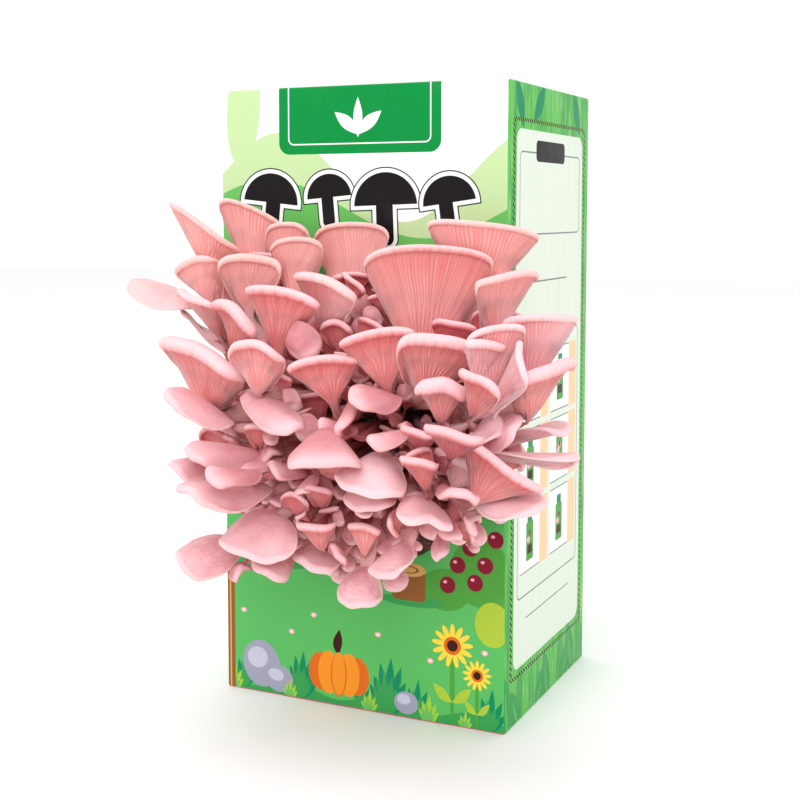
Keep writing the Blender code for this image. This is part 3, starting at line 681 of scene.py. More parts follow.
class PrintGroups:
    """The shapes that artwork is made of, each a node group that puts out a mask."""

    @staticmethod
    def start(name: str, **sizes: str) -> tuple:
        """Starts the group of a shape that has a centre and a turn.

        Args:
            name: Its name.
            sizes: The socket types of its sizes, by name, with _ for spaces.

        Returns:
            The group, a board to lay its nodes with, its input sockets, its output node, and the
            point as measured from the shape's centre and turned upright with it.
        """
        sockets = {"Point": "Vector", "Centre": "Vector", "Turn": "Float"}
        sockets |= {size.replace("_", " "): kind for size, kind in sizes.items()}
        group, board, source, sink = new_group(name, sockets, {"Mask": "Float"})
        moved = board.vector("SUBTRACT", source["Point"], source["Centre"])
        turned = {"Vector": moved, "Angle": source["Turn"]}
        point = board.put("VectorRotate", turned, rotation_type="Z_AXIS").outputs[0]
        return group, board, source, sink, point

    @classmethod
    def oval(cls) -> bpy.types.NodeTree:
        """An oval of given half sizes, cut off level at a share of its half height below."""
        group, board, source, sink, point = cls.start("print_oval", Reach="Vector", Cut="Float")
        scaled = board.vector("DIVIDE", point, source["Reach"])
        _, up, _ = board.split(scaled)
        kept = board.ramp(board.plus(up, source["Cut"]), 0.0, 0.02)
        mask = board.times(board.ramp(board.vector("LENGTH", scaled), 1.01, 0.99), kept)
        board.feed(sink, Mask=mask)
        return group

    @classmethod
    def panel(cls) -> bpy.types.NodeTree:
        """A rectangle of given half sizes with round corners."""
        group, board, source, sink, point = cls.start("print_panel", Reach="Vector", Corner="Float")
        beyond = board.vector("SUBTRACT", board.vector("ABSOLUTE", point), source["Reach"])
        corner = board.join(source["Corner"], source["Corner"], 0.0)
        beyond = board.vector("MAXIMUM", board.vector("ADD", beyond, corner), (0, 0, 0))
        over = board.minus(board.vector("LENGTH", beyond), source["Corner"])
        board.feed(sink, Mask=board.ramp(over, 0.03, -0.03))
        return group

    @classmethod
    def leaf(cls) -> bpy.types.NodeTree:
        """A leaf from its foot, by its length, half width and how far its tip bends aside."""
        group, board, source, sink, point = cls.start(
            "print_leaf", Length="Float", Half_Width="Float", Bend="Float")
        across, up, _ = board.split(point)
        share = board.math("DIVIDE", up, source["Length"])
        inside = board.math("MINIMUM", board.math("MAXIMUM", share, 0.0), 1.0)
        swell = board.math("SINE", board.times(inside, pi))
        bent = board.times(board.times(inside, inside), source["Bend"])
        off = board.math("ABSOLUTE", board.minus(across, bent))
        room = board.minus(board.times(swell, source["Half Width"]), off)
        board.feed(sink, Mask=board.ramp(room, 0.0, 0.05))
        return group

    @classmethod
    def flower(cls) -> bpy.types.NodeTree:
        """Petals round a centre, by their number and length."""
        group, board, source, sink, point = cls.start("print_flower", Petals="Float", Length="Float")
        across, up, _ = board.split(point)
        turn = board.times(board.math("ARCTAN2", across, up), source["Petals"])
        wave = board.math("ABSOLUTE", board.math("COSINE", board.times(turn, 0.5)))
        share = board.plus(board.times(wave, 0.55), 0.45)
        room = board.minus(board.times(share, source["Length"]), board.vector("LENGTH", point))
        board.feed(sink, Mask=board.ramp(room, 0.0, 0.05))
        return group

    @classmethod
    def tuft(cls) -> bpy.types.NodeTree:
        """Blades that fan out from one foot, by their length, half width, spacing and reach."""
        group, board, source, sink, point = cls.start(
            "print_tuft", Length="Float", Half_Width="Float", Step="Float", Side="Float")
        across, up, _ = board.split(point)
        angle = board.math("ARCTAN2", across, up)
        blade = board.math("ROUND", board.math("DIVIDE", angle, source["Step"]))
        blade = board.math("MAXIMUM", blade, board.times(source["Side"], -1.0))
        blade = board.math("MINIMUM", blade, source["Side"])
        out = board.vector("LENGTH", point)
        lean = board.times(blade, source["Step"])
        off = board.times(board.math("ABSOLUTE", board.minus(angle, lean)), out)
        short = board.math("DIVIDE", board.math("ABSOLUTE", blade), source["Side"])
        reach = board.times(board.ramp(short, 0, 1, 1, 0.6), source["Length"])
        share = board.math("MINIMUM", board.math("DIVIDE", out, reach), 1.0)
        swell = board.math("SINE", board.times(share, pi))
        room = board.minus(board.times(swell, source["Half Width"]), off)
        board.feed(sink, Mask=board.ramp(room, 0.0, 0.05))
        return group

    @classmethod
    def hill(cls) -> bpy.types.NodeTree:
        """All below a wavy line."""
        sockets = {"Point": "Vector", "Level": "Float", "Height": "Float", "Wave": "Float", "Shift": "Float"}
        group, board, source, sink = new_group("print_hill", sockets, {"Mask": "Float"})
        across, up, _ = board.split(source["Point"])
        turn = board.plus(board.math("DIVIDE", across, source["Wave"]), source["Shift"])
        line = board.times(board.math("SINE", turn), source["Height"])
        under = board.minus(board.plus(line, source["Level"]), up)
        board.feed(sink, Mask=board.ramp(under, 0.0, 0.06))
        return group


@dataclass(frozen=True)
class Tile:
    """A rectangle of a wall, in millimetres.

    A wall's artwork is split into tiles, each with only the shapes that reach it.
    """

    left: float
    right: float
    foot: float
    head: float

    def meets(self, across: float, up: float, reach: float) -> bool:
        """Whether a round shape reaches this tile."""
        return (self.left - reach < across < self.right + reach
                and self.foot - reach < up < self.head + reach)

    def meets_box(self, low: tuple, high: tuple) -> bool:
        """Whether a rectangle reaches this tile."""
        return low[0] < self.right and high[0] > self.left and low[1] < self.head and high[1] > self.foot


class Sheet:
    """Printed artwork, laid down shape over shape in millimetres across and up one wall.

    groups are the node groups of its shapes, by kind. blade is the half width of a tuft's blades
    as a share of their length, and fan the lean of its outermost blades.
    """

    groups: dict[str, bpy.types.NodeTree] = {}
    blade: float = 0.09
    fan: float = radians(36)

    def __init__(self, name: str, axes: tuple[int, int], ground: Ink, tile: Tile) -> None:
        """Starts a sheet.

        Args:
            name: The material's name.
            axes: Which axes run across and up the wall, 0 for X, 1 for Y and 2 for Z.
            ground: The colour of the bare sheet.
            tile: The part of the wall that it covers.
        """
        self.tile = tile
        if not Sheet.groups:
            Sheet.groups = {kind: getattr(PrintGroups, kind)()
                            for kind in ("oval", "panel", "leaf", "flower", "tuft", "hill")}
        self.material, self.board, self.shader = new_material(
            name, Specular_IOR_Level=0.12, Coat_Roughness=0.3)
        self.place = self.board.put("TexCoord").outputs["Object"]
        parts = self.board.split(self.board.vector("MULTIPLY", self.place, (1000, 1000, 1000)))
        self.point = self.board.join(parts[axes[0]], parts[axes[1]], 0.0)
        self.colour = ground.value

    def mask(self, kind: str, **inputs) -> bpy.types.NodeSocket:
        """Puts down one shape's mask.

        Args:
            kind: oval, panel, leaf, flower, tuft or hill.
            inputs: What goes into the group, with _ for spaces.

        Returns:
            The mask.
        """
        node = self.board.put("Group", node_tree=Sheet.groups[kind])
        self.board.tree.links.new(self.point, node.inputs["Point"])
        for name, value in inputs.items():
            node.inputs[name.replace("_", " ")].default_value = value
        return node.outputs["Mask"]

    def turned(self, kind: str, across: float, up: float, turn: float, **sizes):
        """Puts down the mask of a shape with a centre and a turn in degrees."""
        return self.mask(kind, Centre=(across, up, 0), Turn=radians(-turn), **sizes)

    def lay(self, mask, ink: Ink, share: float = 1.0) -> None:
        """Prints one ink through a mask."""
        if share < 1:
            mask = self.board.times(mask, share)
        self.colour = self.board.mix(mask, self.colour, ink.value)

    def oval(self, ink: Ink, across: float, up: float, wide: float, high: float,
             turn: float = 0.0, cut_at: float = 2.0) -> None:
        """Prints an oval by its centre, half sizes and turn in degrees, cut off below."""
        if self.tile.meets(across, up, max(wide, high)):
            self.lay(self.turned("oval", across, up, turn, Reach=(wide, high, 1), Cut=cut_at), ink)

    def panel(self, ink: Ink, low: tuple, high: tuple, corner: float, turn: float = 0.0) -> None:
        """Prints a rectangle between two corners, with its own corners rounded."""
        if self.tile.meets_box(low, high):
            self.lay(self.panel_mask(low, high, corner, turn), ink)

    def panel_mask(self, low: tuple, high: tuple, corner: float, turn: float = 0.0):
        """The mask of a rounded rectangle between two corners."""
        across, up = (low[0] + high[0]) / 2, (low[1] + high[1]) / 2
        reach = ((high[0] - low[0]) / 2, (high[1] - low[1]) / 2, 1)
        return self.turned("panel", across, up, turn, Reach=reach, Corner=corner)

    def frame(self, ink: Ink, low: tuple, high: tuple, corner: float, line: float) -> None:
        """Prints the outline of a rounded rectangle."""
        if not self.tile.meets_box(low, high):
            return
        outer = self.panel_mask(low, high, corner)
        inner = self.panel_mask((low[0] + line, low[1] + line), (high[0] - line, high[1] - line),
                                corner - line)
        self.lay(self.board.minus(outer, inner), ink)

    def leaf(self, ink: Ink, across: float, up: float, length: float, half_width: float,
             turn: float, bend: float = 0.0) -> None:
        """Prints a leaf by its foot, its size, its lean in degrees and the bend of its tip."""
        if self.tile.meets(across, up, length + abs(bend) + half_width):
            self.lay(self.turned("leaf", across, up, turn, Length=length, Half_Width=half_width,
                                 Bend=bend), ink)

    def flower(self, ink: Ink, across: float, up: float, petals: int, length: float) -> None:
        """Prints petals round a centre."""
        if self.tile.meets(across, up, length):
            self.lay(self.turned("flower", across, up, 0, Petals=petals, Length=length), ink)

    def tuft(self, ink: Ink, across: float, up: float, length: float, blades: int, turn: float) -> None:
        """Prints an odd number of blades from one foot, and their lean in degrees."""
        if self.tile.meets(across, up, length):
            side = (blades - 1) / 2
            self.lay(self.turned("tuft", across, up, turn, Length=length, Step=self.fan / side,
                                 Half_Width=self.blade * length, Side=side), ink)

    def hill(self, ink: Ink, level: float, height: float, wave: float, shift: float) -> None:
        """Prints all below a wavy line."""
        self.lay(self.mask("hill", Level=level, Height=height, Wave=wave, Shift=shift), ink)

    def finish(self) -> bpy.types.Material:
        """Joins the print to the shader, with the board's fine tooth and faintly rubbed places."""
        board = self.board
        tooth = board.grain(self.place, 2400, 2)
        cloud = board.grain(self.place, 60, 3)
        rubbed = board.mix(board.ramp(cloud, 0.55, 0.8, 0, 0.012), self.colour, Ink.WHITE.value)
        rough = board.ramp(cloud, 0.3, 0.7, 0.34, 0.46)
        normal = board.bump(tooth, 0.06, 0.2 * MM)
        board.feed(self.shader, Base_Color=rubbed, Roughness=rough, Normal=normal)
        return self.material


# Artwork -------------------------------------------------------------------------------------------


def pumpkin(sheet: Sheet, across: float, up: float, size: float) -> None:
    """Prints a pumpkin of overlapping ribs.

    Args:
        sheet: The sheet to print on.
        across: Its middle, in millimetres.
        up: Its middle, in millimetres.
        size: Its half width, in millimetres.
    """
    sheet.leaf(Ink.UMBER, across, up + 0.55 * size, 0.8 * size, 0.16 * size, 12, 0.2 * size)
    for side in (-1, 1):
        sheet.oval(Ink.ORANGE_DEEP, across + side * 0.62 * size, up, 0.4 * size, 0.58 * size)
    for side in (-1, 1):
        sheet.oval(Ink.ORANGE, across + side * 0.34 * size, up, 0.36 * size, 0.66 * size)
    sheet.oval(Ink.ORANGE_DEEP, across, up - 0.03 * size, 0.27 * size, 0.68 * size)
    sheet.oval(Ink.ORANGE, across, up, 0.22 * size, 0.66 * size)


def sunflower(sheet: Sheet, across: float, up: float, height: float) -> None:
    """Prints a sunflower on its stalk.

    Args:
        sheet: The sheet to print on.
        across: Its foot, in millimetres.
        up: Its foot, in millimetres.
        height: Its height, in millimetres.
    """
    sheet.leaf(Ink.STALK, across, up - 4, height + 8, 0.035 * height, 0)
    for side in (-1, 1):
        sheet.leaf(Ink.STALK_LIGHT, across, up + 0.25 * height, 0.34 * height, 0.07 * height,
                   -62 * side, -2 * side)
    sheet.flower(Ink.YELLOW, across, up + height, 13, 0.29 * height)
    sheet.oval(Ink.ORANGE_DEEP, across, up + height, 0.12 * height, 0.12 * height)
    sheet.oval(Ink.UMBER, across, up + height, 0.075 * height, 0.075 * height)


def mushroom_figure(sheet: Sheet, across: float, up: float, size: float, turn: float) -> None:
    """Prints a plain mushroom figure, black with a white border.

    Args:
        sheet: The sheet to print on.
        across: The foot of its stem, in millimetres.
        up: The foot of its stem, in millimetres.
        size: Half the width of its cap, in millimetres.
        turn: Its lean in degrees.
    """
    lean = radians(turn)
    stem = (across + 0.35 * size * sin(lean), up + 0.35 * size * cos(lean))
    cap = (across + 0.85 * size * sin(lean), up + 0.85 * size * cos(lean))
    for ink, grown in ((Ink.BLACK, 2.0), (Ink.WHITE, 1.5), (Ink.BLACK, 0)):
        wide, high = 0.27 * size + grown, 0.65 * size + grown
        sheet.panel(ink, (stem[0] - wide, stem[1] - high), (stem[0] + wide, stem[1] + high),
                    0.2 * size + grown, turn)
        high = 0.95 * size + grown
        sheet.oval(ink, *cap, size + grown, high, turn, grown / high)


def tuft(sheet: Sheet, inks: tuple, across: float, up: float, height: float, blades: int) -> None:
    """Prints two fans of grass blades from one foot.

    Args:
        sheet: The sheet to print on.
        inks: The inks of the tall blades and of the short ones before them.
        across: Its foot, in millimetres.
        up: Its foot, in millimetres.
        height: Its tallest blade, in millimetres.
        blades: How many blades each fan has, an odd number.
    """
    sheet.tuft(inks[0], across, up, height, blades, -4)
    sheet.tuft(inks[1], across, up, 0.75 * height, blades, 5)


def meadow_print(name: str, tile: Tile) -> bpy.types.Material:
    """The artwork of the front and the back: hills, a banner of leaves, figures and a meadow.

    Args:
        name: The material's name.
        tile: The part of the wall that it covers.

    Returns:
        The printed material.
    """
    sheet = Sheet(name, (0, 2), Ink.WHITE, tile)
    sheet.hill(Ink.PALE_HILL, 206, 17, 17, 3.6)
    sheet.oval(Ink.PALE_HILL, -50, 232, 7.5, 22, -4)
    sheet.hill(Ink.HILL, 194, 11, 21, 3.4)
    sheet.hill(Ink.MEADOW, 176, 5, 12, 1.0)
    sheet.panel(Ink.BANNER, (-34, 214.5), (34, 250), 4.5)
    sheet.frame(Ink.WHITE, (-30, 218), (30, 246), 2.5, 0.5)
    for side in (-1, 1):
        sheet.leaf(Ink.WHITE, 0, 221.5, 13, 2.4, 42 * side, -1.5 * side)
    sheet.leaf(Ink.WHITE, 0, 220.5, 15, 1.9, 0)
    for across, up, size, turn in ((-37, 186, 12, -6), (-13, 190, 9.5, 5), (11, 184, 13, 2),
                                   (36, 187, 10.5, 8)):
        mushroom_figure(sheet, across, up, size, turn)

    sheet.hill(Ink.SHADE, 58, 2.5, 9, 0.4)
    sheet.hill(Ink.MEADOW, 54, 3, 16, 1.2)
    for across, up, wide, high in ((50, 60, 12, 13), (36, 52, 10, 8), (58, 44, 9, 10)):
        sheet.oval(Ink.STALK, across, up, wide, high)
    sheet.oval(Ink.STALK_LIGHT, 55, 41, 7, 8.5)
    for across, up in ((41, 62), (46, 69), (52, 63), (37, 54), (56, 73), (48, 56)):
        sheet.oval(Ink.CRIMSON, across, up, 3.2, 3.2)
        sheet.oval(Ink.PINK, across - 1, up + 1.1, 0.8, 0.6)
    sheet.oval(Ink.SHADE, 22, 46, 13, 2.2)
    sheet.panel(Ink.TRUNK, (14, 46), (28, 58), 2)
    sheet.oval(Ink.TAN, 21, 58, 7, 2.7)
    sheet.oval(Ink.TRUNK, 21, 58, 4.2, 1.5)
    sheet.oval(Ink.TAN, 21, 58, 3.2, 1.1)

    sheet.hill(Ink.SHADE, 4.5, 2, 6, 0.0)
    for across, up, height, blades in ((-52, 1, 15, 5), (-26, 0, 20, 7), (12, -1, 24, 7),
                                       (24, 0, 16, 5), (54, 0, 17, 5), (1, 1, 11, 5)):
        tuft(sheet, (Ink.DEEP_LEAF, Ink.SHADE), across, up, height, blades)
    for across, up, wide, high, turn in ((-44, 12, 8.5, 9.5, 12), (-36, 7, 6.5, 5.5, -8)):
        sheet.oval(Ink.GREY, across, up, wide, high, turn)
        sheet.oval(Ink.GREY_LIGHT, across - 0.2 * wide, up + 0.25 * high, 0.55 * wide, 0.45 * high, turn)
    pumpkin(sheet, -9, 13, 13)
    sheet.oval(Ink.GREY, 20, 6, 5, 4.4)
    sheet.oval(Ink.GREY_LIGHT, 19, 7.3, 2.8, 2)
    sunflower(sheet, 39, 2, 29)
    sunflower(sheet, 49, 1, 20)
    for across, height in ((-57, 12), (-31, 9), (4, 10), (29, 12), (44, 8)):
        tuft(sheet, (Ink.LIME, Ink.HILL), across, -1, height, 5)
    for across, up in ((-30, 27), (-20, 35), (30, 24), (-52, 33), (8, 31), (52, 30)):
        sheet.oval(Ink.PINK, across, up, 1.3, 1.0)
        sheet.oval(Ink.WHITE, across, up, 0.5, 0.45)
    sheet.panel(Ink.TRUNK, (-62, -2), (-56.2, 66), 0.5)
    sheet.panel(Ink.TAN, (-58.6, -2), (-57.9, 66), 0.3)
    sheet.panel(Ink.MAGENTA, (-61, -1), (61, 0.55), 0.2)
    return sheet.finish()


def care_print(name: str, tile: Tile) -> bpy.types.Material:
    """The artwork of the sides: wood and leaves round a pale panel with two frames.

    Args:
        name: The material's name.
        tile: The part of the wall that it covers.

    Returns:
        The printed material.
    """
    sheet = Sheet(name, (1, 2), Ink.WOOD, tile)
    board = sheet.board
    plank = board.vector("MULTIPLY", sheet.place, (260, 260, 26))
    sheet.lay(board.ramp(board.grain(plank, 1.0, 4, 0.6), 0.45, 0.6), Ink.WOOD_DARK, 0.75)
    sheet.lay(board.ramp(board.grain(plank, 2.2, 2), 0.6, 0.7), Ink.PALE_HILL, 0.35)
    for across, up, length, turn in ((-44, -4, 26, 16), (-30, -6, 24, 38), (-14, -4, 22, -28),
                                     (2, -6, 26, 20), (18, -5, 24, -20), (34, -4, 28, 24),
                                     (46, -4, 30, -14)):
        sheet.leaf(Ink.SHADE, across, up, length, 5.5, turn, 3)
        sheet.leaf(Ink.HILL, across, up, 0.8 * length, 0.7, turn, 2.4)
    for across, turn in ((-40, 30), (-8, -36), (26, 34)):
        sheet.leaf(Ink.DEEP_LEAF, across, 241, 20, 3.6, 180 + turn, 2)

    border = board.minus(sheet.panel_mask((-43, 17.5), (43, 227), 2.5),
                        sheet.panel_mask((-41.1, 18.9), (41.1, 225.6), 1.5))
    across, up, _ = board.split(sheet.point)
    step = board.plus(across, up)
    dashes = board.math("GREATER_THAN", board.math("SINE", board.times(step, 2.6)), -0.3)
    sheet.lay(border, Ink.LIME, 0.4)
    sheet.lay(board.times(border, dashes), Ink.BLACK)
    sheet.panel(Ink.MINT, (-39.5, 21), (39.5, 223), 5)
    sheet.lay(board.times(sheet.panel_mask((-39.5, 21), (39.5, 223), 5),
                         board.ramp(board.grain(plank, 1.3, 3), 0.5, 0.8)), Ink.PALE_HILL, 0.22)

    sheet.frame(Ink.RULE, (-36, 184), (36, 215), 3, 0.55)
    sheet.panel(Ink.BLACK, (-18, 211.5), (16, 219.5), 2.2)
    sheet.frame(Ink.RULE, (-36, 47), (36, 146), 3, 0.55)
    for column in range(2):
        for row in range(3):
            left, foot = -33 + 35 * column, 56 + 28.7 * row
            sheet.panel(Ink.WHITE, (left, foot), (left + 22, foot + 26), 0.6)
            for edge in (foot, foot + 25.5):
                sheet.panel(Ink.RULE, (left, edge), (left + 22, edge + 0.5), 0.1)
            sheet.panel(Ink.PEACH, (left + 22.5, foot - 0.3), (left + 31.5, foot + 26.3), 0.4)
            sprout(sheet, left + 11, foot + 4, row)
    sheet.panel(Ink.RULE, (-20, 166), (20, 166.6), 0.1)
    sheet.panel(Ink.RULE, (-26, 38), (26, 38.5), 0.1)
    return sheet.finish()


def sprout(sheet: Sheet, across: float, foot: float, stage: int) -> None:
    """Prints one picture of the lower frame: a small bag with mushrooms that grow by stages.

    Args:
        sheet: The sheet to print on.
        across: Its middle, in millimetres.
        foot: Its foot, in millimetres.
        stage: How far it has grown, from 0 to 2.
    """
    sheet.panel(Ink.STALK, (across - 4, foot), (across + 4, foot + 15), 1)
    sheet.panel(Ink.DEEP_LEAF, (across - 2.6, foot + 15), (across + 2.6, foot + 18.5), 0.6)
    sheet.panel(Ink.UMBER, (across - 2.6, foot + 2.5), (across + 2.6, foot + 6), 0.5)
    for step in range(stage + 1):
        sheet.oval(Ink.PINK, across + 1.5 * (step - 1), foot + 8 + 2 * step, 1.8, 1.2)
    sheet.oval(Ink.CRIMSON, across, foot + 10.5, 1.1, 1.1)


# Carton --------------------------------------------------------------------------------------------


@dataclass
class Carton:
    """The folded carton, with its window, its tucked ends and its glued seam.

    tile_edges are the heights that part the walls' artwork into tiles and tile_reach is how far
    the artwork runs from a wall's middle, both in millimetres. Faces no deeper than print_depth
    under the carton's outside are printed, and the others are bare board.
    """

    crease_radius: float = 0.9 * MM
    slit_width: float = 0.6 * MM
    slit_depth: float = 0.9 * MM
    tuck_inset: float = 6 * MM
    window_points: int = 128
    tooth: float = 0.25 * MM
    seam_inset: float = 2.2 * MM
    seam_width: float = 0.35 * MM
    seam_depth: float = 0.45 * MM
    print_depth: float = 0.6 * MM
    smooth_angle: float = radians(32)
    tile_reach: float = 61
    tile_edges: tuple[float, ...] = (-1, 66, 160, 241)

    def build(self) -> bpy.types.Object:
        """Builds the carton.

        Returns:
            The finished piece, printed, with the solid that it replaces hidden.
        """
        carton = self.shell()
        cut(carton, self.window_cutter(), "DIFFERENCE")
        for cutter in self.slit_cutters():
            cut(carton, cutter, "DIFFERENCE")
        self.score_tiles()
        self.print_on(carton)
        pick(carton)
        bpy.ops.object.shade_smooth_by_angle(angle=self.smooth_angle)
        return finish_piece(carton, "printed_carton", "carton", "carton")

    def shell(self) -> bpy.types.Object:
        """The closed box of four walls, top and bottom, with rounded creases and its room."""
        half_width, half_depth = CARTON_WIDTH / 2, CARTON_DEPTH / 2
        shell = box("shell", (-half_width, -half_depth, 0), (half_width, half_depth, CARTON_HEIGHT))
        round_edges(self.crease_radius, 5)
        room = box("room", (BOARD - half_width, BOARD - half_depth, BOARD),
                   (half_width - BOARD, half_depth - BOARD, CARTON_HEIGHT - BOARD))
        cut(shell, room, "DIFFERENCE")
        return shell

    def window_cutter(self) -> bpy.types.Object:
        """The oval of the window, with the fine teeth of the torn perforation round its edge."""
        deselect_all()
        bpy.ops.mesh.primitive_cylinder_add(
            vertices=self.window_points, radius=0.5, depth=4 * BOARD,
            location=(WINDOW_X, FRONT, WINDOW_Z), rotation=(pi / 2, 0, 0))
        cutter = bpy.context.active_object
        cutter.scale = (WINDOW_WIDTH, WINDOW_HEIGHT, 1)
        bpy.ops.object.transform_apply(location=True, rotation=True, scale=True)
        middle = Vector((WINDOW_X, 0, WINDOW_Z))
        for number, vertex in enumerate(cutter.data.vertices):
            out = Vector((vertex.co.x, 0, vertex.co.z)) - middle
            if number // 2 % 2:
                vertex.co -= out.normalized() * self.tooth
        return cutter

    def slit_cutters(self) -> list[bpy.types.Object]:
        """The open joints round the tucked top and bottom panels, and the glued seam behind."""
        half_width, half_depth = CARTON_WIDTH / 2, CARTON_DEPTH / 2
        inset, front = self.crease_radius + self.slit_width, self.crease_radius - half_depth
        cutters = []
        for low, high in ((CARTON_HEIGHT - self.slit_depth, CARTON_HEIGHT + BOARD),
                          (-BOARD, self.slit_depth)):
            for side in (-1, 1):
                one, other = side * (half_width - inset), side * (half_width - self.crease_radius)
                cutters.append(box("end_slit", (min(one, other), front, low),
                                   (max(one, other), half_depth - self.tuck_inset, high)))
            cutters.append(box("front_slit", (self.crease_radius - half_width, front, low),
                               (half_width - self.crease_radius, inset - half_depth, high)))
        left = self.seam_inset - half_width
        cutters.append(box("seam", (left, half_depth - self.seam_depth, -BOARD),
                           (left + self.seam_width, half_depth + BOARD, CARTON_HEIGHT + BOARD)))
        return cutters

    def score_tiles(self) -> None:
        """Cuts the walls' faces along the edges of the artwork's tiles."""
        bpy.ops.object.mode_set(mode="EDIT")
        for height in self.tile_edges[1:-1]:
            bpy.ops.mesh.select_all(action="SELECT")
            bpy.ops.mesh.bisect(plane_co=(0, 0, height * MM), plane_no=(0, 0, 1))
        bpy.ops.mesh.select_all(action="SELECT")
        bpy.ops.mesh.bisect(plane_co=(0, 0, 0), plane_no=(1, 0, 0))
        bpy.ops.object.mode_set(mode="OBJECT")

    def tile_at(self, axis: int, place: Vector) -> Tile:
        """The tile that a place lies in, on a wall that faces along an axis."""
        edge = self.tile_reach
        if axis == 2:
            return Tile(-edge, edge, -edge, edge)
        head = next(height for height in self.tile_edges if height > place.z / MM)
        foot = self.tile_edges[self.tile_edges.index(head) - 1]
        if axis == 0:
            return Tile(-edge, edge, foot, head)
        return Tile(0, edge, foot, head) if place.x > 0 else Tile(-edge, 0, foot, head)

    def print_on(self, carton: bpy.types.Object) -> None:
        """Gives each wall its artwork, and the inside and the cut edges bare board.

        Args:
            carton: The carton's mesh.
        """
        carton.data.materials.append(bare_board("bare_board"))
        half = Vector((CARTON_WIDTH / 2, CARTON_DEPTH / 2, CARTON_HEIGHT / 2))
        artwork = (care_print, meadow_print, lid_print)
        slots = {}
        for face in carton.data.polygons:
            middle = face.center - Vector((0, 0, half.z))
            inset = [half[axis] - abs(middle[axis]) for axis in range(3)]
            axis = inset.index(min(inset))
            if inset[axis] > self.print_depth or face.normal[axis] * middle[axis] <= 0:
                continue
            key = (axis, self.tile_at(axis, face.center))
            if key not in slots:
                slots[key] = len(carton.data.materials)
                name = f"{artwork[axis].__name__}_{len(slots)}"
                carton.data.materials.append(artwork[axis](name, key[1]))
            face.material_index = slots[key]


def lid_print(name: str, tile: Tile) -> bpy.types.Material:
    """The artwork of the top and bottom panels: a frame and three leaves.

    Args:
        name: The material's name.
        tile: The part of the panel that it covers.

    Returns:
        The printed material.
    """
    sheet = Sheet(name, (0, 1), Ink.WHITE, tile)
    sheet.panel(Ink.BANNER, (-34, -60), (34, -20), 4.5)
    sheet.frame(Ink.HILL, (-54, -42), (54, 42), 5, 0.8)
    for turn in (-50, 0, 50):
        sheet.leaf(Ink.HILL, 0, -4, 26, 4.5, turn, 0.05 * turn)
    return sheet.finish()


def bare_board(name: str) -> bpy.types.Material:
    """Unprinted board: grey-brown fibres.

    Args:
        name: The material's name.

    Returns:
        The material.
    """
    material, board, shader = new_material(name, Specular_IOR_Level=0.3)
    place = board.put("TexCoord").outputs["Object"]
    fibre = board.grain(board.vector("MULTIPLY", place, (1, 1, 0.35)), 1400, 4, 0.6)
    colour = board.mix(board.ramp(fibre, 0.35, 0.7), Ink.RAW_BOARD.value, paint(150, 132, 110))
    board.feed(shader, Base_Color=colour, Roughness=board.ramp(fibre, 0.3, 0.7, 0.75, 0.92),
               Normal=board.bump(fibre, 0.3, 0.2 * MM))
    return material


# Growing block -------------------------------------------------------------------------------------


@dataclass
class GrowingBlock:
    """The block of substrate: a rounded brick in the carton and the crumbly bulge in its window.

    crumb is how far the sawdust's crumbs stand out, and grit is the finer crumbs' share of that.
    crumb_scale and grit_scale are how closely they lie over the bulge.
    """

    headroom: float = 12 * MM
    corner: float = 6 * MM
    segments: int = 160
    rings: int = 80
    crumb: float = 0.9 * MM
    grit: float = 0.6
    crumb_scale: float = 22
    grit_scale: float = 55
    smooth_angle: float = radians(60)

    def build(self) -> bpy.types.Object:
        """Builds the block.

        Returns:
            The finished piece, with the solid that it replaces hidden.
        """
        half_width = CARTON_WIDTH / 2 - BOARD - GAP
        half_depth = CARTON_DEPTH / 2 - BOARD - GAP
        block = box("block", (-half_width, -half_depth, BOARD + GAP),
                    (half_width, half_depth, CARTON_HEIGHT - self.headroom))
        round_edges(self.corner, 4)
        cut(block, self.bulge(), "UNION")
        block.data.materials.append(Substrate().build())
        pick(block)
        bpy.ops.object.shade_smooth_by_angle(angle=self.smooth_angle)
        return finish_piece(block, "substrate_block", "growing_block", "growing_block")

    def bulge(self) -> bpy.types.Object:
        """The lumpy bulge, with crumbs of sawdust all over it."""
        deselect_all()
        bpy.ops.mesh.primitive_uv_sphere_add(segments=self.segments, ring_count=self.rings, radius=1)
        bulge = bpy.context.active_object
        reach = Vector((WINDOW_WIDTH / 2 - GAP, BULGE, WINDOW_HEIGHT / 2 - GAP))
        for vertex in bulge.data.vertices:
            across, out, up = vertex.co.x, vertex.co.y, vertex.co.z
            swell = 1 + BULGE_LUMPS * lump(across * reach.x, up * reach.z) * out * out / BULGE
            crumbs = noise.noise(vertex.co * self.crumb_scale) * out * out
            fine = noise.noise(vertex.co * self.grit_scale) * out * out
            swell += (crumbs + self.grit * fine) * self.crumb / BULGE
            vertex.co = (across * reach.x, swell * out * reach.y, up * reach.z)
        bulge.location = (WINDOW_X, FRONT + BOARD, WINDOW_Z)
        bpy.ops.object.transform_apply(location=True, rotation=False, scale=False)
        return bulge


def lump(x: float, z: float) -> float:
    """How far the bulge stands proud at a place on it, between -1 and 1."""
    return (sin(310 * x + 1.3) * cos(270 * z + 0.4) + 0.6 * sin(520 * x - 430 * z)) / 1.6


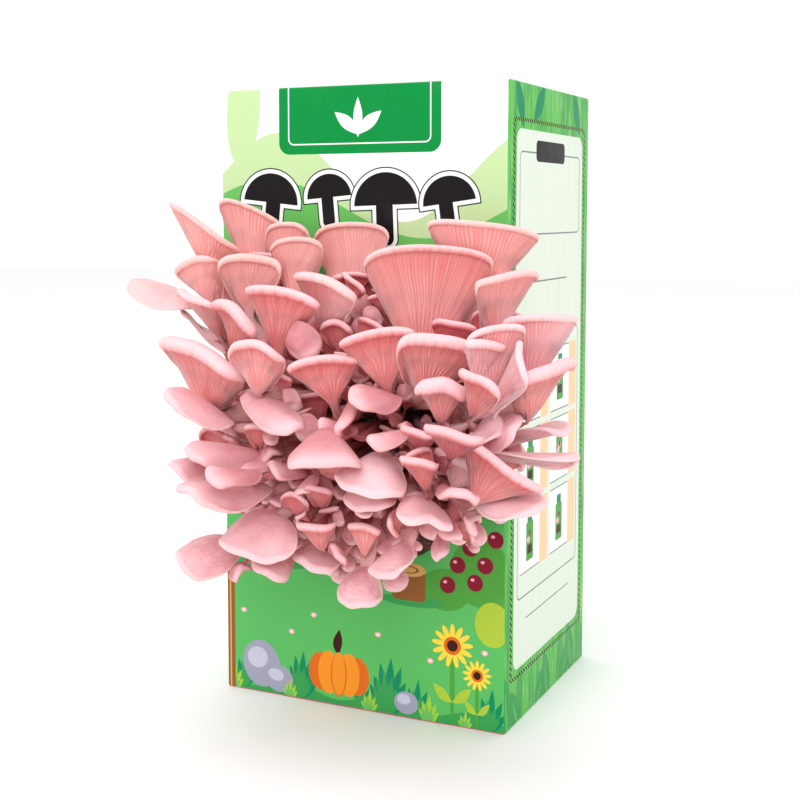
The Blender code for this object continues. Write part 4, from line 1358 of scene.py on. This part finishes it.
def on_bulge(x: float, z: float) -> tuple[Vector, Vector]:
    """Finds a place on the bulge.

    Args:
        x: Its place across, in metres.
        z: Its place up, in metres.

    Returns:
        The point, and the direction that the bulge faces there.
    """
    across = (x - WINDOW_X) / (WINDOW_WIDTH / 2)
    up = (z - WINDOW_Z) / (WINDOW_HEIGHT / 2)
    out = sqrt(1 - across * across - up * up)
    facing = Vector((across / WINDOW_WIDTH, -out / (2 * BULGE), up / WINDOW_HEIGHT)).normalized()
    return Vector((x, FRONT + BOARD - BULGE * out, z)), facing


# Mushrooms -----------------------------------------------------------------------------------------


def place(across: float, out: float, up: float) -> Vector:
    """A point given in millimetres across, out of the carton's front and up."""
    return Vector((across * MM, FRONT - out * MM, up * MM))


def within_window(x: float, z: float) -> tuple[float, float]:
    """The nearest place that a stem can grow from: in the window and clear of its rim."""
    across = (x - WINDOW_X) / (WINDOW_WIDTH / 2 * ROOT_REACH)
    up = (z - WINDOW_Z) / (WINDOW_HEIGHT / 2 * ROOT_REACH)
    shrink = 1 / max(1.0, hypot(across, up))
    return WINDOW_X + shrink * (x - WINDOW_X), WINDOW_Z + shrink * (z - WINDOW_Z)


def root_in_line(spec: Mushroom) -> tuple[float, float]:
    """The x and z on the bulge in line with a mushroom's cap, drawn in to the flush's middle."""
    spot = FLUSH_MIDDLE + (place(*spec.hub) - FLUSH_MIDDLE) * STEM_SPREAD
    return within_window(spot.x, spot.z)


def root_places() -> list[tuple[float, float]]:
    """Spreads the roots of the named mushrooms so that every stem has room.

    Returns:
        The x and z of each root, in the order of the mushrooms.
    """
    places = [root_in_line(spec) for spec in MUSHROOMS]
    for _ in range(ROOT_ROUNDS):
        for index, (x, z) in enumerate(places):
            for other in range(index):
                across, up = x - places[other][0], z - places[other][1]
                short = ROOT_PITCH - hypot(across, up)
                if short > 0:
                    push = ROOT_PUSH * short / max(hypot(across, up), 0.1 * MM)
                    x, z = x + across * push, z + up * push
                    places[other] = within_window(places[other][0] - across * push,
                                                  places[other][1] - up * push)
            places[index] = within_window(x, z)
    return places


def smooth(value: np.ndarray | float, low: float, high: float) -> np.ndarray | float:
    """Eases a number, or each number of an array, from 0 to 1 between two limits."""
    share = np.clip((value - low) / (high - low), 0, 1)
    return share * share * (3 - 2 * share)


class Growth:
    """The form of one mushroom: a cap about its hub, and a curved stem that runs up into it."""

    def __init__(self, spec: Mushroom, root: tuple[float, float], phase: float) -> None:
        """Works out the cap's axes and the stem's path.

        Args:
            spec: The mushroom's measures.
            root: The x and z that it grows from, in metres.
            phase: A number that sets its lobes and waves apart from its neighbours'.
        """
        self.spec = spec
        self.phase = phase
        hub, tip = place(*spec.hub), place(*spec.tip)
        forward = (tip - hub).normalized()
        hint = Vector((0, 1, 1)).normalized()
        hint.rotate(Quaternion(forward, radians(spec.roll)))
        up = (hint - forward * hint.dot(forward)).normalized()
        self.reach = (tip - hub).length
        self.widest = (sqrt(1 + 4 * spec.taper ** 2) - 1) / (2 * spec.taper)
        self.neck = STEM_RADIUS * spec.stem * MM
        self.core = self.neck + (1 + spec.deep) * MM
        end = hub - up * (self.neck + 0.4 * MM)
        start, facing = on_bulge(*root)
        course = end - start
        natural = atan2(course.dot(forward), course.dot(up))
        lean = min(max(natural, LEAST_LEAN), MOST_LEAN)
        arrive = up * cos(lean) + forward * sin(lean)
        bend = course.length / 3
        self.hub, self.forward, self.up = np.array(hub), np.array(forward), np.array(up)
        self.side = np.array(up.cross(forward))
        self.path = [np.array(point) for point in
                     (start - facing * MM, start + facing * bend, end - arrive * bend, end)]

    def outline(self, turn: np.ndarray) -> tuple[np.ndarray, np.ndarray]:
        """The cap's edge at turns from its tip: angles about the hub and distances from it."""
        spec = self.spec
        back = spec.back * MM
        along = np.cos(turn) * (1 + SQUARENESS * np.sin(turn) ** 2)
        ahead = (self.reach - back) / 2 + (self.reach + back) / 2 * along
        full = sqrt(1 - self.widest ** 2) * exp(spec.taper * self.widest)
        aside = spec.width * MM / 2 * np.sin(turn) * np.exp(spec.taper * np.cos(turn)) / full
        ahead = ahead + spec.skew * aside
        front = 0.5 + 0.5 * np.cos(turn)
        lobes = 0.05 * np.sin(3 * turn + self.phase) + 0.03 * np.sin(5 * turn - 2 * self.phase)
        lobes = lobes + 0.012 * np.sin(11 * turn + 3 * self.phase)
        notch = spec.notch * np.maximum(0.0, np.cos(3 * turn)) ** 6
        return (np.arctan2(aside, ahead),
                np.hypot(ahead, aside) * (1 + (lobes * np.sin(turn) ** 2 - notch) * front))

    def lip(self, turn: np.ndarray) -> np.ndarray:
        """Radius of the rolled edge, full at the tip and thin along the sides."""
        return self.spec.lip * MM * (THIN_EDGE + (1 - THIN_EDGE) * self.margin(turn))

    def margin(self, turn: np.ndarray) -> np.ndarray:
        """How much of the rolled margin a place on the edge has, from 0 at the sides to 1."""
        return smooth(np.cos(turn), self.widest - RIM_START, RIM_FULL)

    def relief(self, turn: np.ndarray, share: float) -> np.ndarray:
        """Height of the cap's top over the plane of its edge, at a share of the way out."""
        spec = self.spec
        ruffle = spec.ruffle * np.sin(spec.ruffles * turn + self.phase) * share ** 3
        ripple = min(0.35, 0.016 * spec.width) * np.sin(7 * turn - 2 * self.phase)
        ripple = ripple * np.cos(turn / 2) ** 2 * share ** 4
        arch = spec.arch * (1 - share * share - DIMPLE * max(0.0, 1 - share / 0.35) ** 2)
        droop = spec.droop * np.sin(turn) ** 2 * share ** 2
        return (arch - droop + ruffle + ripple) * MM

    def at(self, turn: np.ndarray, distance: np.ndarray, height: np.ndarray) -> np.ndarray:
        """Points at distances from the hub towards places on the cap's edge."""
        angle = self.outline(turn)[0][:, None]
        out = self.forward * np.cos(angle) + self.side * np.sin(angle)
        return self.hub + out * distance[:, None] + self.up * height[:, None]

    def under_point(self, turn: np.ndarray, share: float) -> np.ndarray:
        """Points on the gills, from the stem (0) to the rolled edge (1)."""
        lip = self.lip(turn)
        thin = 0.85 * lip
        thick = thin + (self.core - thin) * (1 - share) ** 1.3
        distance = (self.outline(turn)[1] - lip) * share
        return self.at(turn, distance, self.relief(turn, share) - thick)

    def roll_point(self, turn: np.ndarray, angle: float) -> np.ndarray:
        """Points round the rolled edge: 90 degrees is on top, and below 0 is underneath."""
        lip = self.lip(turn)
        tuck = 0.42 * max(0.0, -angle / 110) ** 1.5
        radius = lip * (1 - tuck)
        turned = radians(angle)
        return self.at(turn, self.outline(turn)[1] - lip + radius * cos(turned),
                       self.relief(turn, 1) - lip + radius * sin(turned))

    def top_point(self, turn: np.ndarray, share: float) -> np.ndarray:
        """Points on top of the cap, from its middle (0) to the rolled edge (1)."""
        return self.at(turn, (self.outline(turn)[1] - self.lip(turn)) * share, self.relief(turn, share))

    def stem_point(self, turn: np.ndarray, share: float) -> np.ndarray:
        """Points round the stem, from the root (0) to the cap (1)."""
        first, second, third, last = self.path
        rest = 1 - share
        centre = (first * rest ** 3 + second * (3 * rest * rest * share)
                  + third * (3 * rest * share * share) + last * share ** 3)
        tangent = ((second - first) * rest * rest + (third - second) * (2 * rest * share)
                   + (last - third) * share * share)
        tangent /= np.linalg.norm(tangent)
        ahead = np.cross(self.side, tangent)
        ahead /= np.linalg.norm(ahead)
        across = np.cross(tangent, ahead)
        flare = 0.35 * max(0.0, 1 - share / 0.12)
        radius = self.neck * (1 - (1 - STEM_WAIST) * rest + flare)
        radius = radius * (1 + 0.05 * np.sin(2 * turn + self.phase + 3 * share)
                           + 0.025 * np.sin(9 * turn + self.phase))
        turn = turn[:, None]
        return centre + (ahead * np.cos(turn) + across * np.sin(turn)) * radius[:, None]

    def throat_point(self, turn: np.ndarray, share: float) -> np.ndarray:
        """Points on the bend between the stem (0) and the gills (1)."""
        low, high = self.stem_point(turn, STEM_END), self.under_point(turn, THROAT_END)
        rise = low - self.stem_point(turn, STEM_END - 0.05)
        run = self.under_point(turn, THROAT_END + 0.05) - high
        gap = np.linalg.norm(high - low, axis=1, keepdims=True) / 2.6
        rise *= gap / np.linalg.norm(rise, axis=1, keepdims=True)
        run *= gap / np.maximum(np.linalg.norm(run, axis=1, keepdims=True), 1e-9)
        rest = 1 - share
        return (low * rest ** 3 + (low + rise) * (3 * rest * rest * share)
                + (high - run) * (3 * rest * share * share) + high * share ** 3)


@dataclass(frozen=True)
class Fineness:
    """How finely a mushroom's skin is meshed, and how far up its stem the painted shade and the block's stain
    reach.
    """

    gill_pitch: float = 1.6 * MM
    fewest_gills: int = 14
    stem_rows: int = 9
    throat_rows: int = 9
    gill_rows: int = 12
    top_rows: int = 9
    stain_and_shade: float = 0.5
    roll_angles: tuple[float, ...] = (-112, -92, -70, -48, -26, -4, 18, 40, 62, 82)

    def gills(self, growth: Growth) -> int:
        """How many gills leave the stem, by the length of the cap's edge."""
        edge = pi * (growth.spec.width * MM + growth.reach) / 2
        return max(self.fewest_gills, round(edge / self.gill_pitch))


class Skin:
    """The skin of one mushroom: rings of points from its root, under the cap and over its top."""

    def __init__(self, growth: Growth, fineness: Fineness) -> None:
        """Lays out the rings.

        Args:
            growth: The mushroom's form.
            fineness: How finely it is meshed.
        """
        self.growth = growth
        self.gills = fineness.gills(growth)
        self.columns = GILL_COLUMNS * self.gills
        turn = np.linspace(-pi, pi, self.columns + 1)
        self.rings, self.looks = [], []
        for share in np.linspace(0, STEM_END, fineness.stem_rows, endpoint=False):
            # The stem's foot: painted shade deep in the cluster, with the block's stain
            foot = FOOT_STAIN_AND_SHADE * (1 - smooth(share, 0.12, fineness.stain_and_shade))
            self.ring(growth.stem_point(turn, share), turn, deep=0.7 - 0.5 * share + foot)
        # The throat and the gills get painted shade by the stem, and the gills also under the margin
        for share in np.linspace(0, 1, fineness.throat_rows, endpoint=False):
            self.ring(growth.throat_point(turn, share), turn, ridge=share ** 1.5 * 0.8, inward=1,
                      deep=STEM_SHADE)
        for share in np.linspace(THROAT_END, 1, fineness.gill_rows):
            inward = 1 - (share - THROAT_END) / (1 - THROAT_END)
            swerved = turn + self.swerve(turn, 1 - inward)
            self.ring(growth.under_point(swerved, share), turn, ridge=1 - smooth(share, 0.93, 1.0),
                      inward=inward, deep=MARGIN_SHADE * smooth(share, 0.5, 1.0) + STEM_SHADE * inward)
        # The rolled edge, with painted shade on its underside
        for angle in fineness.roll_angles:
            rim = smooth(angle, -85, 5)
            self.ring(growth.roll_point(turn, angle), turn, rim=rim, deep=MARGIN_SHADE * (1 - rim),
                      top=0.6 * smooth(angle, 40, 100))
        for share in np.linspace(1, 0, fineness.top_rows):
            self.ring(growth.top_point(turn, share), turn, rim=share ** 3, top=1)

    def swerve(self, turn: np.ndarray, share: float) -> np.ndarray:
        """How far gills stray to the side, at a share of their length."""
        phase = self.growth.phase
        stray = 0.8 * np.sin(5 * turn + 5 * share + phase)
        stray = stray + 0.45 * np.sin(13 * turn - 8 * share - phase)
        return stray * sin(pi * share) * 2 * pi / self.columns

    def ring(self, points: np.ndarray, turn: np.ndarray, ridge: float = 0, inward: float = 0,
             rim: float = 0, deep: float = 0, top: float = 0) -> None:
        """Adds one ring.

        Args:
            points: Its points.
            turn: Their turns from the cap's tip.
            ridge: How strongly its gills stand out, 0 to 1.
            inward: How near the stem it crosses the gills, 0 to 1.
            rim: How much of the pale margin it shows, 0 to 1.
            deep: How much painted shade its gills have, 0 to 1, and above 1 how much painted shade
                and block stain its foot has.
            top: How much of the cap's top it shows, 0 to 1.
        """
        column = np.arange(self.columns + 1)
        phase = column % GILL_COLUMNS / GILL_COLUMNS
        main = np.abs(2 * phase - 1)
        both = np.abs(4 * (phase % 0.5) - 1)
        fresh = smooth(1 - inward, 0.25, 0.55)
        uneven = 0.8 + 0.2 * np.sin(2.4 * (column // GILL_COLUMNS) + 5 * inward)
        height = uneven * (main * (1 - fresh) + both * fresh) ** 1.2
        height[[0, -1]] = height[0]
        self.rings.append(points)
        look = np.zeros((self.columns + 1, 5))
        # How far the gills dip here: the flesh darkens the dips as painted shade between the gills
        look[:, 0] = (1 - height) * ridge
        margin = self.growth.margin(turn)
        # Margin, painted shade and top; the painted shade is less where the margin thins, and above 1 it is
        # the foot's painted shade with the block's stain
        look[:, 1:4] = rim, deep, top
        look[:, 1] *= 0.15 + 0.85 * margin
        look[:, 2] *= 0.6 + 0.4 * margin if deep < 1 else 1
        look[:, 4] = height * ridge
        self.looks.append(look)

    def build(self, name: str, light_and_shade: float, age: float) -> bpy.types.Object:
        """Builds the mesh.

        Args:
            name: Its name.
            light_and_shade: How much painted light this mushroom has, up to 1, or painted shade, down to -1.
            age: How creased its top is, 0 to 1.

        Returns:
            The closed mesh, with its attributes.
        """
        points, looks = np.array(self.rings), np.array(self.looks)
        rows = len(points)
        deselect_all()
        bpy.ops.mesh.primitive_grid_add(
            x_subdivisions=self.columns, y_subdivisions=rows - 1, size=1, calc_uvs=True)
        obj = bpy.context.active_object
        obj.name = name
        mesh = obj.data
        lift = looks[:, :, 4:]
        points = points + self.normals(points) * (lift - 0.3 * (lift > 0)) * self.gill_height()
        mesh.vertices.foreach_set("co", points.astype(np.float32).ravel())
        colours = mesh.attributes.new("flesh", "FLOAT_COLOR", "POINT")
        colours.data.foreach_set("color", looks[:, :, :4].astype(np.float32).ravel())
        across = mesh.uv_layers[0].uv
        spots = np.empty(2 * len(across), np.float32)
        across.foreach_get("vector", spots)
        spots[::2] *= self.gills
        across.foreach_set("vector", spots)
        # The mushroom's painted light and shade, and its age
        for kind, value in (("light_and_shade", light_and_shade), ("age", age)):
            values = mesh.attributes.new(kind, "FLOAT", "POINT")
            values.data.foreach_set("value", np.full(len(mesh.vertices), value, np.float32))
        bpy.ops.object.mode_set(mode="EDIT")
        bpy.ops.mesh.select_all(action="DESELECT")
        bpy.ops.object.mode_set(mode="OBJECT")
        meeting = np.zeros(points.shape[:2], bool)
        meeting[:, [0, -1]] = True
        meeting[-1] = True
        mesh.vertices.foreach_set("select", meeting.ravel())
        bpy.ops.object.mode_set(mode="EDIT")
        bpy.ops.mesh.remove_doubles(threshold=0.002 * MM)
        bpy.ops.mesh.select_all(action="DESELECT")
        bpy.ops.mesh.select_non_manifold()
        bpy.ops.mesh.edge_face_add()
        bpy.ops.object.mode_set(mode="OBJECT")
        bpy.ops.object.shade_smooth()
        return obj

    def gill_height(self) -> float:
        """The gills' height, less on a small cap."""
        return GILL_HEIGHT * min(1.0, self.growth.reach / FULL_GILLS_REACH)

    @staticmethod
    def normals(points: np.ndarray) -> np.ndarray:
        """Outward directions of a grid of points that closes on itself along its columns."""
        ring = points[:, :-1]
        around = np.roll(ring, -1, axis=1) - np.roll(ring, 1, axis=1)
        around = np.concatenate((around, around[:, :1]), axis=1)
        along = np.gradient(points, axis=0)
        normal = np.cross(around, along)
        return normal / np.maximum(np.linalg.norm(normal, axis=2, keepdims=True), 1e-12)


@dataclass(frozen=True)
class YoungForm:
    """The proportions of one kind of young mushroom.

    lip, back, arch and ruffle are shares of the cap's width, and stem is the thickness of its
    stem before the share that grows with its width, in millimetres.
    """

    lip: float
    back: float
    stem: float
    arch: float
    ruffle: float
    taper: float
    least_lip: float = 0.7
    stem_share: float = 0.12

    def grown(self, number: int, hub: Vector, tip: Vector, width: float, roll: float, droop: float,
              ruffles: int = 3) -> Mushroom:
        """Gives one mushroom of this kind its measures, with the meanings that Mushroom gives."""
        return Mushroom(
            f"young_{number}", tuple(hub), tuple(tip), width, roll, lip=self.least_lip + self.lip * width,
            back=self.back * width, stem=self.stem + self.stem_share * width, arch=self.arch * width,
            droop=droop, ruffle=self.ruffle * width, ruffles=ruffles, taper=self.taper)


BUTTON = YoungForm(lip=0.08, back=0.46, stem=1.8, arch=0.28, ruffle=0.03, taper=0.1)
FUNNEL = YoungForm(lip=0.06, back=0.18, stem=1.6, arch=0.0, ruffle=0.035, taper=1.0)
TONGUE = YoungForm(lip=0.06, back=0.3, stem=1.6, arch=0.1, ruffle=0.035, taper=0.2)


@dataclass
class Cluster:
    """The whole flush: the named mushrooms, and the young ones that crowd between them.

    The young ones find room on a dome that has a middle and a reach across, out and up, and are
    joined into bunches. Each stays named_share of its radius clear of the named mushrooms, and
    young_share of both radii clear of another. A clearing is a place and the radius that stays
    free along the line of sight to it, which moves by sight across and up for each step out. Its
    own lengths are in millimetres.
    """

    fine: Fineness = Fineness()
    coarse: Fineness = Fineness(gill_pitch=2.1 * MM, fewest_gills=7, stem_rows=6, throat_rows=4,
                                gill_rows=5, top_rows=4, stain_and_shade=0.66,
                                roll_angles=(-100, -50, 0, 45, 80))
    young: int = 280
    tries: int = 7000
    seed: int = 11
    bunches: int = 4
    middle: tuple[float, float, float] = (10, 0, 112)
    reach: tuple[float, float, float] = (60, 46, 56)
    least_out: float = 5
    named_share: float = 0.9
    young_share: float = 0.62
    sight: tuple[float, float] = (0.5, 0.18)
    button_widths: tuple[float, ...] = (5, 6, 7, 8.5, 10)
    fan_widths: tuple[float, ...] = (5, 7, 8.5, 10, 12, 14)
    clearings: tuple[tuple[float, float, float, float], ...] = (
        (9, 18, 114, 12), (14, 18, 105, 8), (-4, 18, 121, 5), (44, 18, 62, 15))
    # Painted shade on the young ones, deep in the cluster
    young_shades: tuple[float, ...] = (-0.6, -0.45, -0.3)
    phase_step: float = 2.4
    young_phase_step: float = 1.7

    def build(self) -> None:
        """Builds all mushrooms."""
        flesh = Flesh().build()
        caps = []
        for number, (spec, root) in enumerate(zip(MUSHROOMS, root_places())):
            skin = Skin(Growth(spec, root, self.phase_step * number), self.fine)
            obj = skin.build(spec.name, self.light_and_shade(spec), self.age(spec))
            obj.data.materials.append(flesh)
            finish_piece(obj, f"{spec.name}_grown", spec.name, spec.name)
            # Every other ring from the throat on, with one point for each gill
            caps += [ring[::GILL_COLUMNS] for ring in skin.rings[len(skin.rings) // 3::2]]
        taken = np.concatenate(caps)
        bunches = [[] for _ in range(self.bunches)]
        for number, spec in enumerate((*YOUNG, *self.young_ones(taken))):
            phase = self.young_phase_step * number
            skin = Skin(Growth(spec, root_in_line(spec), phase), self.coarse)
            # Painted shade for a young one, deep in the cluster
            light_and_shade = self.young_shades[number % len(self.young_shades)]
            bunches[number % self.bunches].append(skin.build(spec.name, light_and_shade, self.age(spec)))
        for number, bunch in enumerate(bunches, 1):
            obj = joined(bunch)
            obj.data.materials.append(flesh)
            finish_piece(obj, f"young_mushrooms_{number}", MUSHROOMS[0].name)

    def young_ones(self, taken: np.ndarray) -> list[Mushroom]:
        """Finds room for the young mushrooms, on a dome over the window.

        Args:
            taken: Points on the named mushrooms' caps, in metres.

        Returns:
            Their measures.
        """
        chance = Random(self.seed)
        found = []
        centres = [(place(*spec.hub) + place(*spec.tip)) / 2 for spec in YOUNG]
        sizes = [spec.width * MM / 2 for spec in YOUNG]
        for _ in range(self.tries):
            if len(found) == self.young:
                break
            u, v = chance.uniform(-1, 1), chance.uniform(-1, 1)
            bulk = u * u + v * v
            if bulk > 1:
                continue
            out = self.reach[1] * sqrt(1 - bulk) * chance.uniform(0.5, 1) + self.least_out
            hub = Vector((self.middle[0] + self.reach[0] * u, out, self.middle[2] + self.reach[2] * v))
            spec = self.young_at(hub, u, v, chance, len(found))
            centre = (place(*spec.hub) + place(*spec.tip)) / 2
            size = spec.width * MM / 2
            if any(hypot(hub.x - across - self.sight[0] * (out - depth),
                         hub.z - up - self.sight[1] * (out - depth)) < radius
                   for across, depth, up, radius in self.clearings):
                continue
            nearest = np.min(np.linalg.norm(taken - np.array(centre), axis=1))
            if nearest < self.named_share * size + GAP:
                continue
            if any((centre - other).length < self.young_share * (size + rival)
                   for other, rival in zip(centres, sizes)):
                continue
            found.append(spec)
            centres.append(centre)
            sizes.append(size)
        return found

    def young_at(self, hub: Vector, u: float, v: float, chance: Random, number: int) -> Mushroom:
        """Shapes one young mushroom: a round button that faces out, or a fan.

        Args:
            hub: Where its gills meet: across, out and up in millimetres.
            u: Its place across the flush, -1 to 1.
            v: Its place up the flush, -1 to 1.
            chance: The source of its differences.
            number: Its number.

        Returns:
            Its measures.
        """
        wild = Vector([chance.uniform(-0.5, 0.5) for _ in range(3)])
        if v < -0.55 or chance.random() < 0.35:
            width = chance.choice(self.button_widths)
            forward = (Vector((0.5 * u, 0.1, -1)) + 0.5 * wild).normalized()
            tip = hub + forward * 0.55 * width
            return BUTTON.grown(number, hub, tip, width, 180 + chance.uniform(-30, 30), 0.1 * width)
        rise = 0.9 if v > -0.2 else 0.1
        forward = (Vector((0.7 * u, 0.75, rise + 0.4 * v)) + wild).normalized()
        width = chance.choice(self.fan_widths)
        tip = hub + forward * width * chance.uniform(0.75, 1.15)
        form = FUNNEL if v > 0 or chance.random() < 0.3 else TONGUE
        return form.grown(number, hub, tip, width, chance.uniform(-35, 35), chance.uniform(-1, 2),
                          chance.choice((2, 3)))

    @staticmethod
    def light_and_shade(spec: Mushroom) -> float:
        """How much painted light a mushroom has, up to 1, or painted shade, down to -1.

        Args:
            spec: The mushroom's measures.

        Returns:
            Its own value, or else the usual one: most painted light at the top, far right and
            level with the window's middle.
        """
        across, _, up = spec.tip
        # Most painted light at the top and far right, and level with the window's middle
        usual = 0.7 if up > 165 or across > 68 else max(0.1, 0.8 - abs(up - 103) / 40)
        return LIGHT_AND_SHADE.get(spec.name, usual)

    @staticmethod
    def age(spec: Mushroom) -> float:
        """How creased the top of a mushroom is: the lowest ones are the oldest."""
        return min(0.7, max(0.06, (78 - spec.tip[2]) / 22))


# Studio --------------------------------------------------------------------------------------------


@dataclass(frozen=True)
class Lamp:
    """One soft square light: its place and its side in metres, and its power in watts."""

    name: str
    place: tuple[float, float, float]
    size: float
    power: float

    def hang(self) -> None:
        """Hangs the light so that it faces the object."""
        light = bpy.data.lights.new(self.name, "AREA")
        light.energy = self.power
        light.size = self.size
        lamp = bpy.data.objects.new(self.name, light)
        lamp.location = self.place
        aim = Vector((0, 0, CARTON_HEIGHT / 2)) - Vector(self.place)
        lamp.rotation_euler = aim.to_track_quat("-Z", "Y").to_euler()
        bpy.context.scene.collection.objects.link(lamp)


@dataclass
class Studio:
    """Floor, lights and camera: metres, degrees, and the lens in millimetres."""

    lamps: tuple[Lamp, ...] = (Lamp("key", (0.5, -1.7, 1.2), 1.1, 11),
                               Lamp("top", (-0.2, -0.3, 1.9), 1.2, 8))
    sky: tuple[float, float, float, float] = (1, 1, 1, 1)
    sky_strength: float = 1.0
    camera_place: tuple[float, float, float] = (0.2245, -0.4901, 0.1932)
    camera_yaw: float = 25.1
    camera_pitch: float = -4.77
    lens: float = 59.11
    shift_up: float = -0.1
    floor_size: float = 6.0

    def build(self) -> None:
        """Lays the floor, hangs the lights and points the camera."""
        self.floor()
        for lamp in self.lamps:
            lamp.hang()
        world = bpy.data.worlds.new("soft_box")
        world.use_nodes = True
        background = world.node_tree.nodes["Background"]
        background.inputs["Color"].default_value = self.sky
        background.inputs["Strength"].default_value = self.sky_strength
        bpy.context.scene.world = world
        bpy.context.scene.view_settings.view_transform = "Standard"
        self.camera()

    def floor(self) -> None:
        """The plain pale floor."""
        deselect_all()
        bpy.ops.mesh.primitive_plane_add(size=self.floor_size)
        floor = bpy.context.active_object
        floor.name = "studio_floor"
        material, _, _ = new_material("pale_floor", Base_Color=(0.96, 0.96, 0.96, 1), Roughness=0.8,
                                      Specular_IOR_Level=0.1)
        floor.data.materials.append(material)

    def camera(self) -> None:
        """The camera, at the angle that shows the window and the right side."""
        lens = bpy.data.cameras.new("camera")
        lens.lens = self.lens
        lens.shift_y = self.shift_up
        camera = bpy.data.objects.new("camera", lens)
        camera.location = self.camera_place
        camera.rotation_euler = (radians(90 + self.camera_pitch), 0, radians(self.camera_yaw))
        bpy.context.scene.collection.objects.link(camera)
        bpy.context.scene.camera = camera


def save_sizes() -> None:
    """Brings the scene's placements up to date."""
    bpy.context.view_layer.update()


def main() -> None:
    """Builds every piece in order."""
    logging.basicConfig(level=logging.INFO, format="%(name)s: %(message)s")
    Studio().build()
    Carton().build()
    GrowingBlock().build()
    Cluster().build()
    save_sizes()


if __name__ == "__main__":
    main()
